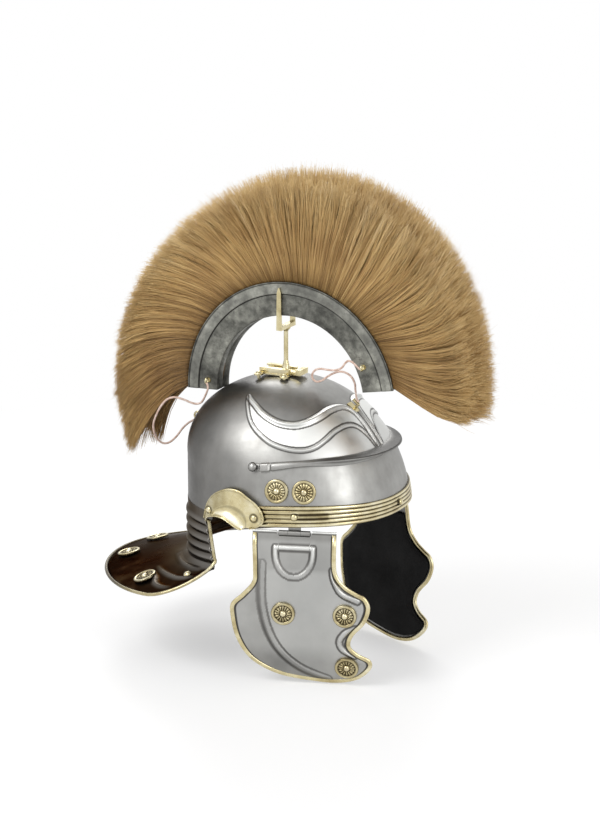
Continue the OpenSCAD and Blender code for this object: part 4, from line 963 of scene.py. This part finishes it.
def cheek_emboss(x, down):
    """Height and tone of the cheek guard's embossing: a D that is fainter below, a long curved ridge with a
    raised field in front of it, and two crescents, each as rounded bumps of the distance from its line. The
    tone is a painted highlight on the D, the crescents, the field and the plate below its top, and painted
    shade along their sides."""
    p = np.stack([x, down], axis=-1)
    gap, _ = near_line(p, D_RING)
    faint = 1 - 0.6 * smooth((down - 18) / 18)
    high, painted_highlight = 1.9 * (0.4 + 0.6 * faint) * bump(gap, 3.2), 0.75 * faint * bump(gap, 2.6)
    painted_shade = 0.8 * faint * bump(gap - 3.1, 1.3)
    ridge = spline(REAR_RIDGE, 8)
    gap, along = near_line(p, ridge)
    taper = 0.35 + 0.65 * np.sin(np.pi * np.clip(along, 0, 1))
    ahead = x - np.interp(down, ridge[:, 1], ridge[:, 0])
    high = np.maximum(high, 2.6 * taper * bump(gap, 5.2))
    field = 0.9 * smooth(ahead / 5) * smooth((down - 26) / 14)
    painted_shade = np.maximum(painted_shade, 0.62 * taper * np.where(ahead > 0, bump(gap - 4.4, 1.2), bump(gap - 2.8, 3.2)))
    for line in FRONT_RIDGES:
        gap, along = near_line(p, spline(line, 8))
        high = np.maximum(high, 2.4 * np.sin(np.pi * np.clip(along, 0.02, 0.98)) ** 0.6 * bump(gap, 3.6))
        painted_shade = np.maximum(painted_shade, 0.75 * bump(gap - 3.2, 1.2))
        painted_highlight = np.maximum(painted_highlight, 0.4 * bump(gap, 2.4))
    painted_highlight = np.maximum(painted_highlight, np.maximum(0.4 * field, 0.2 * smooth((down - 4) / 6)))
    return high + field, np.where(painted_shade > PAINTED_SHADE_SHOWS, painted_shade, -painted_highlight)


def cheek_sheet(name, outer, inner, word, slot, node, tone=None, back=0.0):
    """A sheet of a cheek guard from grids in the hinge's frame."""
    side = SIDES[word]
    add_sheet(name + word, from_hinge(outer, side), from_hinge(inner, side), "cheek_" + word, slot,
              node + word, tone, back, flip=side == RIGHT)


def cheek_plate(word):
    """Iron plate with its embossing, a painted highlight along its top strip with painted shade under its
    bead, and a dark line inside the piping.
    """
    cols = 136
    beside = np.abs(np.linspace(-TOP_HALF, TOP_HALF, cols)) > STRIP_START
    x, down = cheek_grid(PIPING_W - 0.6, 165, np.where(beside, STRIP_TOP, PLATE_TOP))
    high, tone = cheek_emboss(x, down)
    inwards = np.minimum(np.arange(cols), np.arange(cols)[::-1])
    high = high * smooth(inwards / 5) * smooth((down.max() - down) / 5)
    high = high + 0.7 * bump(down - STRIP_TOP - 0.9, 0.95)
    # Painted shade in a line under the strip's bead, and a painted highlight on the strip
    under = 0.7 * bump(down - STRIP_TOP - 2.3, 0.7)
    tone = np.where(under > PAINTED_SHADE_SHOWS, under, tone) - 0.8 * (down < STRIP_TOP + 1.4)
    # Darker towards the bottom
    tone = tone + 0.2 * smooth((down - 108) / 24)
    tone = np.where((inwards < 3) & (down > PIPING_TOP), 0.85, tone)
    # The inner face is darker by 0.2
    cheek_sheet("cheek_plate_", cheek_at(x, down, high), cheek_at(x, down, high * 0.7 - CHEEK_T), word,
                "steel", "cheek_guard_", tone, 0.2)


def cheek_piping(word):
    """Brass piping: an oval carried round the outline, along the plate's edge."""
    side = SIDES[word]
    line = inset(cheek_outline(), PIPING_W / 2)
    path = cheek_at(line[:, 0], line[:, 1], -CHEEK_T / 2)
    points, faces = sweep(path, ellipse(PIPING_T, PIPING_W, 14), cheek_normal(line[:, 1]))
    add_mesh("piping_" + word, from_hinge(points, side), turned_faces(faces, side), "cheek_" + word, "brass",
             "cheek_piping_" + word)


def cheek_lining(word):
    """Leather lining: a sheet behind the plate with a turned edge and shallow creases."""
    cols = 80
    x, down = cheek_grid(PIPING_W + 1.3, 70, np.full(cols, PLATE_TOP + 19.2))
    rim = np.minimum(np.arange(cols), np.arange(cols)[::-1])[None, :] / 6
    rim = np.minimum(rim, (down.max() - down) / 8)
    crease = 0.35 * np.sin(x / 9 + 0.6 * np.sin(down / 13)) * np.sin(down / 17)
    cheek_sheet("lining_", cheek_at(x, down, -CHEEK_T - 0.35),
                cheek_at(x, down, -CHEEK_T - 1.5 - (0.9 + crease) * smooth(rim)), word, "leather",
                "cheek_lining_")


# ---- crest ----

# Half of the channel's section, from the inner middle round the outside: radius, half width and painted
# shade, where a value below 0 is a painted highlight
BOX_SECTION = [(80.9, 0, 0), (80, 2, 0), (80, 11.2, 0), (80.15, 11.75, 0.2), (80.6, 12, 0), (84, 12.05, 0),
               (90, 12.1, 0), (96, 12.05, 0), (99.6, 12, 0), (100.2, 11.9, 0.5), (100.5, 11.5, 1),
               (101, 11.5, 1), (101.2, 12.1, 0.7), (101.5, 12.5, -0.16), (102.4, 12.72, -0.16),
               (106, 12.8, -0.1), (110, 12.74, -0.16), (111.1, 12.6, 0), (111.4, 12.25, 0.9),
               (111.8, 12.2, 0.9), (112, 12.55, 0.2), (112.4, 12.78, 0), (112.8, 12.7, 0), (113, 12.3, 0.2),
               (113, 10.9, 0.8), (112.2, 10.7, 1), (104, 10.75, 1), (90, 10.75, 1), (82, 10.7, 1),
               (81.3, 10.2, 1), (81.2, 2, 1)]
LAP, END_MID, END_HALF, END_WIDE = 48, 96.8, 15.6, 11.2


def on_arch(r, a, y):
    """Point of the crest's arch."""
    return xyz(-CREST_BACK + r * cosd(a), y, CREST_Z + r * sind(a))


def crest_box():
    """Channel bent to an arch: its section mirrored and carried round, and a plate with rounded corners in
    each end."""
    half = np.array(BOX_SECTION)
    r, y, painted_shade = np.concatenate([half, half[::-1][:-1] * [1, -1, 1]]).T
    a = np.linspace(CREST_FRONT_ANGLE, CREST_REAR_ANGLE, 301)[:, None]
    points = [on_arch(r, a, y).reshape(-1, 3)]
    faces = loft_faces(len(a), len(r), flip=True)
    lap = np.linspace(0, 2 * np.pi, LAP, endpoint=False)
    across, out = (reach * np.sign(v) * np.abs(v) ** 0.3
                   for reach, v in ((END_WIDE, np.cos(lap)), (END_HALF, np.sin(lap))))
    for low, high in ((CREST_FRONT_ANGLE + 0.15, CREST_FRONT_ANGLE + 1.1),
                      (CREST_REAR_ANGLE - 1.1, CREST_REAR_ANGLE - 0.15)):
        faces += loft_faces(2, LAP, sum(len(p) for p in points), True)
        points.append(np.concatenate([on_arch(END_MID + out, b, across) for b in (low, high)]))
    add_mesh("crest_channel", np.concatenate(points), faces, "crest", "zinc", "crest_box",
             np.append(np.tile(painted_shade, len(a)), np.zeros(4 * LAP)))


def hair_tip_r(a):
    """Reach of the hair from the arch's centre, longest towards the front."""
    return HAIR_OUT + HAIR_FRONT * np.clip(cosd(0.9 * (a - 60)), 0, None) ** 3


def hair_sweep(a):
    """Degrees that the hair bends over on its way out: forwards in front, and backwards behind."""
    front = -11 * (np.clip(HAIR_PARTING - a, 0, None) / 63) ** 1.5
    rear = 24 * (np.clip(a - HAIR_PARTING, 0, None) / (CREST_REAR_ANGLE - HAIR_PARTING)) ** 1.5
    return np.where(a < HAIR_PARTING, front, rear) + 7 * np.exp(-((a - 115) / 22) ** 2)


def hair_turn(a, s):
    """Degrees turned at a share of the length: at once in front, where the tips curl up, and later behind."""
    sweep = hair_sweep(a)
    curl = 5 * np.exp(-((a - 38) / 24) ** 2) * (s ** 2.6 - s)
    return np.where(sweep < 0, sweep * (1 - (1 - s) ** 2.2), sweep * s ** 1.2) + curl


def hair_at(a, across, s, reach=1.0):
    """Point of a hair: root angle, place across the box from -1 to 1, and share of its length."""
    r = mix(HAIR_ROOT, hair_tip_r(a + hair_sweep(a)) * reach, s)
    y = across * mix(CREST_W / 2 - BOX_T - 0.3, HAIR_SPREAD, s ** 0.9)
    return on_arch(r, a + hair_turn(a, s), y)


HAIRS, CLUMPS = 4230, 420
HAIR_STEPS = np.array([0, 0.24, 0.46, 0.67, 0.86, 1])
HAIR_WIDE = np.array([0.76, 0.76, 0.74, 0.66, 0.48, 0.12])


def plume(k):
    """One section of the plume: three-sided tapering hairs over a dense core.

    Each hair starts on the root block and follows its section's sweep, drawn a little towards the middle of
    its lock and back again at the tip, and waves with its lock. Most hairs grow near the two faces, where
    they show, and a few reach past the rest as fuzz.
    """
    first, last = CREST_FRONT_ANGLE + PLUME_GAP, CREST_REAR_ANGLE - PLUME_GAP
    span = (last - first) / PLUME_PARTS
    low = first + (k - 1) * span
    a = low + span * rng.random(HAIRS)
    u = rng.random(HAIRS)
    beside = rng.random(HAIRS) < 0.5 + 0.3 * smooth((k - 2) / 4)
    across = np.where(beside, 1 - 0.22 * u ** 1.3, u) * rng.choice([-1, 1], HAIRS)
    centre_a = low + span * rng.random(CLUMPS)
    centre_y = rng.uniform(-1, 1, CLUMPS)
    far = ((a[:, None] - centre_a) / 1.1) ** 2 + ((across[:, None] - centre_y) / 0.25) ** 2
    lock = np.argmin(far, axis=1)
    pull = 0.55 * rng.random(HAIRS) ** 0.6
    fuzz = rng.random(HAIRS) < 0.07
    lock_turn, lock_y, lock_reach, lock_tone = (
        rng.normal(0, spread, CLUMPS)[lock] for spread in (0.3, 0.05, 0.004, 0.055))
    lock_phase = rng.random(CLUMPS)[lock]
    reach = 0.986 + lock_reach - 0.03 * rng.random(HAIRS) ** 2 - 0.06 * np.abs(across) ** 3 + 0.022 * fuzz
    s = np.clip(HAIR_STEPS + [0, 1, 1, 1, 0.6, 0] * rng.uniform(-0.08, 0.08, HAIRS)[:, None], 0, 1)
    drawn = ((centre_a[lock] - a) * pull)[:, None] * np.sin(np.pi * s ** 0.8) ** 1.5
    stray = (lock_turn + rng.normal(0, 0.3, HAIRS) * np.where(fuzz, 4, 1))[:, None] * s ** 1.6
    drift = (centre_y[lock] - across) * pull * 0.2 + lock_y + rng.normal(0, 0.03, HAIRS)
    place_y = np.clip(across[:, None] + drift[:, None] * s ** 1.5, -1.05, 1.05)
    beat = s * rng.uniform(1.0, 1.3, HAIRS)[:, None] + (lock_phase + rng.normal(0, 0.06, HAIRS))[:, None]
    wave = 0.55 * np.sin(2 * np.pi * beat) * s
    path = hair_at(a[:, None] + drawn + stray + wave, place_y, s, reach[:, None])
    ahead = unit(np.gradient(path, axis=1))
    side = unit(np.cross(ahead, [0.0, 1.0, 0.0]))
    up = np.cross(ahead, side)
    corner = rng.random(HAIRS)[:, None, None, None] * 2 * np.pi + (np.arange(3) * 2 * np.pi / 3)[:, None]
    wide = (HAIR_WIDE / 2 * np.where(fuzz, 0.6, 1)[:, None])[:, :, None, None]
    ring = path[:, :, None] + wide * (np.cos(corner) * side[:, :, None] + np.sin(corner) * up[:, :, None])
    size = 3 * len(HAIR_STEPS)
    start = (np.arange(HAIRS) * size)[:, None, None]
    polys = (grid_faces(len(HAIR_STEPS), 3, 0, True) + start).reshape(-1, 4).tolist()
    polys += (start + [[2, 1, 0], [size - 3, size - 2, size - 1]]).reshape(-1, 3).tolist()
    # own: each hair's tone, with painted shade that darkens the hairs towards the front and the rear ends
    own = lock_tone + rng.normal(0, 0.06, HAIRS) - 0.2 * (np.abs(a - 78) / 90) ** 2
    tone = 0.34 + 0.36 * s ** 0.75 + own[:, None] + 0.1 * smooth((s - 0.8) / 0.2)
    tone = np.repeat(np.clip(tone + rng.normal(0, 0.06, tone.shape), 0, 1)[:, :, None], 3, axis=2)
    points, faces, core_tone = plume_core(low, low + span)
    polys += [[v + HAIRS * size for v in f] for f in faces]
    add_mesh(f"plume_section_{k}", np.concatenate([ring.reshape(-1, 3), points]), polys, "crest", "hair",
             f"plume_{k}", np.append(tone, core_tone))


def plume_core(low, high):
    """Dense middle of a section: a closed loft from the root block to eight tenths of the hair's reach."""
    t = np.linspace(0, 2 * np.pi, 24, endpoint=False)
    edge_a = mix(low + 0.1, high - 0.1, (1 + np.clip(1.3 * np.cos(t), -1, 1)) / 2)
    rings = [hair_at(edge_a, np.clip(-1.3 * np.sin(t), -1, 1) * mix(0.98, 0.8, s ** 1.5), s)
             for s in (0, 0.25, 0.5, 0.7, 0.8)]
    centre, block = np.array([-CREST_BACK, 0, CREST_Z]), (CREST_IN + BOX_T + 0.4) / HAIR_ROOT
    rings = np.stack([(rings[0] - centre) * [block, 1, block] + centre] + rings)
    tone = np.repeat([0.1, 0.26, 0.36, 0.42, 0.5, 0.56], len(t))
    return rings.reshape(-1, 3), loft_faces(*rings.shape[:2]), tone


def thong(name, points, node):
    """A limp round thong along the route that its CAD solid takes."""
    path = spline(points, 8)
    mesh_points, faces = tube(path, TIE_D * TIE_DRAWN, 10)
    obj = add_mesh(name, mesh_points, faces, "crest", "thong", node)


# ---- stage ----

VIEW_TURN, VIEW_RISE, VIEW_FAR = 28, 17, 2.6
PIXELS_PER_M, FRAME_HIGH = 1020, 840
ORIGIN_LEFT, ORIGIN_DOWN = 3, 78


def camera():
    """Camera at the photograph's angle, aimed a little off the origin, for the same place in the frame."""
    az, el = math.radians(VIEW_TURN), math.radians(VIEW_RISE)
    back = Vector((math.sin(az) * math.cos(el), -math.cos(az) * math.cos(el), math.sin(el)))
    right = Vector((math.cos(az), math.sin(az), 0))
    up = back.cross(right)
    aim = right * (ORIGIN_LEFT / PIXELS_PER_M) + up * (ORIGIN_DOWN / PIXELS_PER_M)
    data = bpy.data.cameras.new("camera")
    obj = linked("camera", data)
    obj.location = back * VIEW_FAR
    obj.rotation_euler = (aim - obj.location).to_track_quat("-Z", "Y").to_euler()
    data.sensor_fit = "VERTICAL"
    data.sensor_height = 36
    data.lens = PIXELS_PER_M * VIEW_FAR * data.sensor_height / FRAME_HIGH
    data.clip_end = 50
    bpy.context.scene.camera = obj


def lamp(name, place_m, aim_m, wide, high, watts):
    data = bpy.data.lights.new(name, "AREA")
    data.shape = "RECTANGLE"
    data.size, data.size_y, data.energy = wide, high, watts
    obj = linked(name, data)
    obj.location = place_m
    obj.rotation_euler = (Vector(aim_m) - Vector(place_m)).to_track_quat("-Z", "Y").to_euler()


class Stage(Nodes):
    """A world's or floor's node tree, with the share of rays that see the plain white background."""

    def __init__(self, owner):
        owner.use_nodes = True
        self.tree = owner.node_tree
        self.tree.nodes.clear()

    def math(self, kind, first, second):
        node = self.add("ShaderNodeMath", operation=kind)
        for socket, value in zip(node.inputs, (first, second)):
            if isinstance(value, (int, float)):
                socket.default_value = value
            else:
                self.join(value, socket)
        return node.outputs[0]

    def seen(self):
        rays = self.add("ShaderNodeLightPath").outputs
        painted_highlight = self.math("MAXIMUM", rays["Is Glossy Ray"], rays["Is Transmission Ray"])
        return self.math("MAXIMUM", rays["Is Camera Ray"], painted_highlight)

    def either(self, share, first, second, out):
        node = self.add("ShaderNodeMixShader")
        for source, socket in zip((share, first, second), node.inputs):
            self.join(source, socket)
        self.join(node.outputs[0], self.add(out).inputs["Surface"])


def world():
    """Even soft light, and plain white where the camera, a reflection or a view through glass meets it."""
    bpy.context.scene.world = bpy.data.worlds.new("studio")
    w = Stage(bpy.context.scene.world)
    soft = w.add("ShaderNodeBackground", Color=(1, 1, 1, 1), Strength=0.62)
    white = w.add("ShaderNodeBackground", Color=(1, 1, 1, 1), Strength=1.0)
    w.either(w.seen(), soft.outputs[0], white.outputs[0], "ShaderNodeOutputWorld")


def floor(level):
    """A wide pale floor just under the lowest point, which fades to the white background further away.

    The white's share grows as a straight ramp of the distance from the middle.
    """
    size = 6
    corners = [(x * size, y * size, level) for x, y in ((-1, -1), (1, -1), (1, 1), (-1, 1))]
    mesh = bpy.data.meshes.new("floor")
    mesh.from_pydata(corners, [], [(0, 1, 2, 3)])
    material = bpy.data.materials.new("pale_floor")
    f = Stage(material)
    far = f.add("ShaderNodeVectorMath", operation="LENGTH")
    f.join(f.add("ShaderNodeTexCoord").outputs["Object"], far.inputs[0])
    fade = f.span(far.outputs["Value"], 0.45, 1, 0.3, 1.0)
    paint = f.add("ShaderNodeBsdfPrincipled", Base_Color=(0.93, 0.93, 0.93, 1), Roughness=0.7)
    white = f.add("ShaderNodeEmission", Color=(1, 1, 1, 1), Strength=1.0)
    share = f.math("MULTIPLY", f.seen(), fade)
    f.either(share, paint.outputs[0], white.outputs[0], "ShaderNodeOutputMaterial")
    mesh.materials.append(material)
    linked("floor", mesh)


# ---- the scene ----

camera()
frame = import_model()
cad_box = [list(v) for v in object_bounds()]

FINISHES = {"steel": polished_iron(), "brass": pale_brass(), "zinc": mottled_zinc(),
            "leather": black_leather(), "hair": horsehair(), "thong": pale_thong()}

thong("front_thong", FRONT_TIE, "front_tie")
thong("rear_thong", REAR_TIE, "rear_tie")

for build in (bowl_shell, neck_guard, liner, brow_band, brow_guard, guard_edging):
    build()

repeated("bowl_rosette_set", rosette(), bowl_seats([(-72.5, 36), (-57.5, 36)], SEAT), "bowl_rosettes")
hinge_angle = math.degrees(math.atan2(HINGE_Y, HINGE_X))
band_spots = [(a, band_mid(a)) for a in (-hinge_angle, 0, hinge_angle)]
repeated("band_rivet_set", rivet(7, 3.2), bowl_seats(band_spots, SEAT + BAND_T + 1, [RIGHT]),
         "brow_band_rivets")
repeated("ear_rivet_set", rivet(7, 4.5), bowl_seats(EAR_RIVETS, EAR_FACE), "ear_guard_rivets")
repeated("bar_rivet_set", rivet(9, 4.5), bowl_seats([(-PEAK_END - 3.5, PEAK_SIDE)], SEAT + 3.5),
         "brow_guard_rivets", slot="steel")

guard_seats = []
for angle, share in GUARD_ROSETTES:
    here, near = guard_at(angle, np.array([share, share + 0.1]))
    normal = unit(np.cross(near - here, [-sind(angle), cosd(angle), 0]))
    normal = normal if normal[2] > 0 else -normal
    guard_seats.append((here + 1.1 * normal, normal, RIGHT))
repeated("guard_rosette_set", rosette(0.6), guard_seats, "neck_guard_rosettes")

for word, side in SIDES.items():
    for build in (ear_guard, cheek_plate, cheek_piping, cheek_lining):
        build(word)
    seats = []
    for x, down in CHEEK_ROSETTES:
        tip, root = (from_hinge(cheek_at(x, down, off), RIGHT) for off in (1.3, 0.3))
        seats.append((tip, tip - root, side))
    repeated("cheek_rosette_set_" + word, rosette(0.2), seats, "cheek_rosettes_" + word, "cheek_" + word)
crest_box()
for section in range(1, PLUME_PARTS + 1):
    plume(section)

slots = {p["node"]: p["material_slot"] for p in frame["record"]["subparts"]}
for name, obj in frame["nodes"].items():
    for s in obj.material_slots:
        s.material = FINISHES[slots[name]]

world()
floor(cad_box[0][2] - 0.001)
lamp("key", (-1.2, -2.2, 2.6), (0, 0, 0.1), 1.6, 1.6, 62)
lamp("fill", (2.6, -0.9, 1.2), (0, 0, 0.05), 1.2, 1.8, 26)
lamp("rim", (-1.4, 2.0, 1.8), (0, 0, 0.15), 1.2, 1.2, 30)
bpy.context.scene.view_settings.view_transform = "Standard"
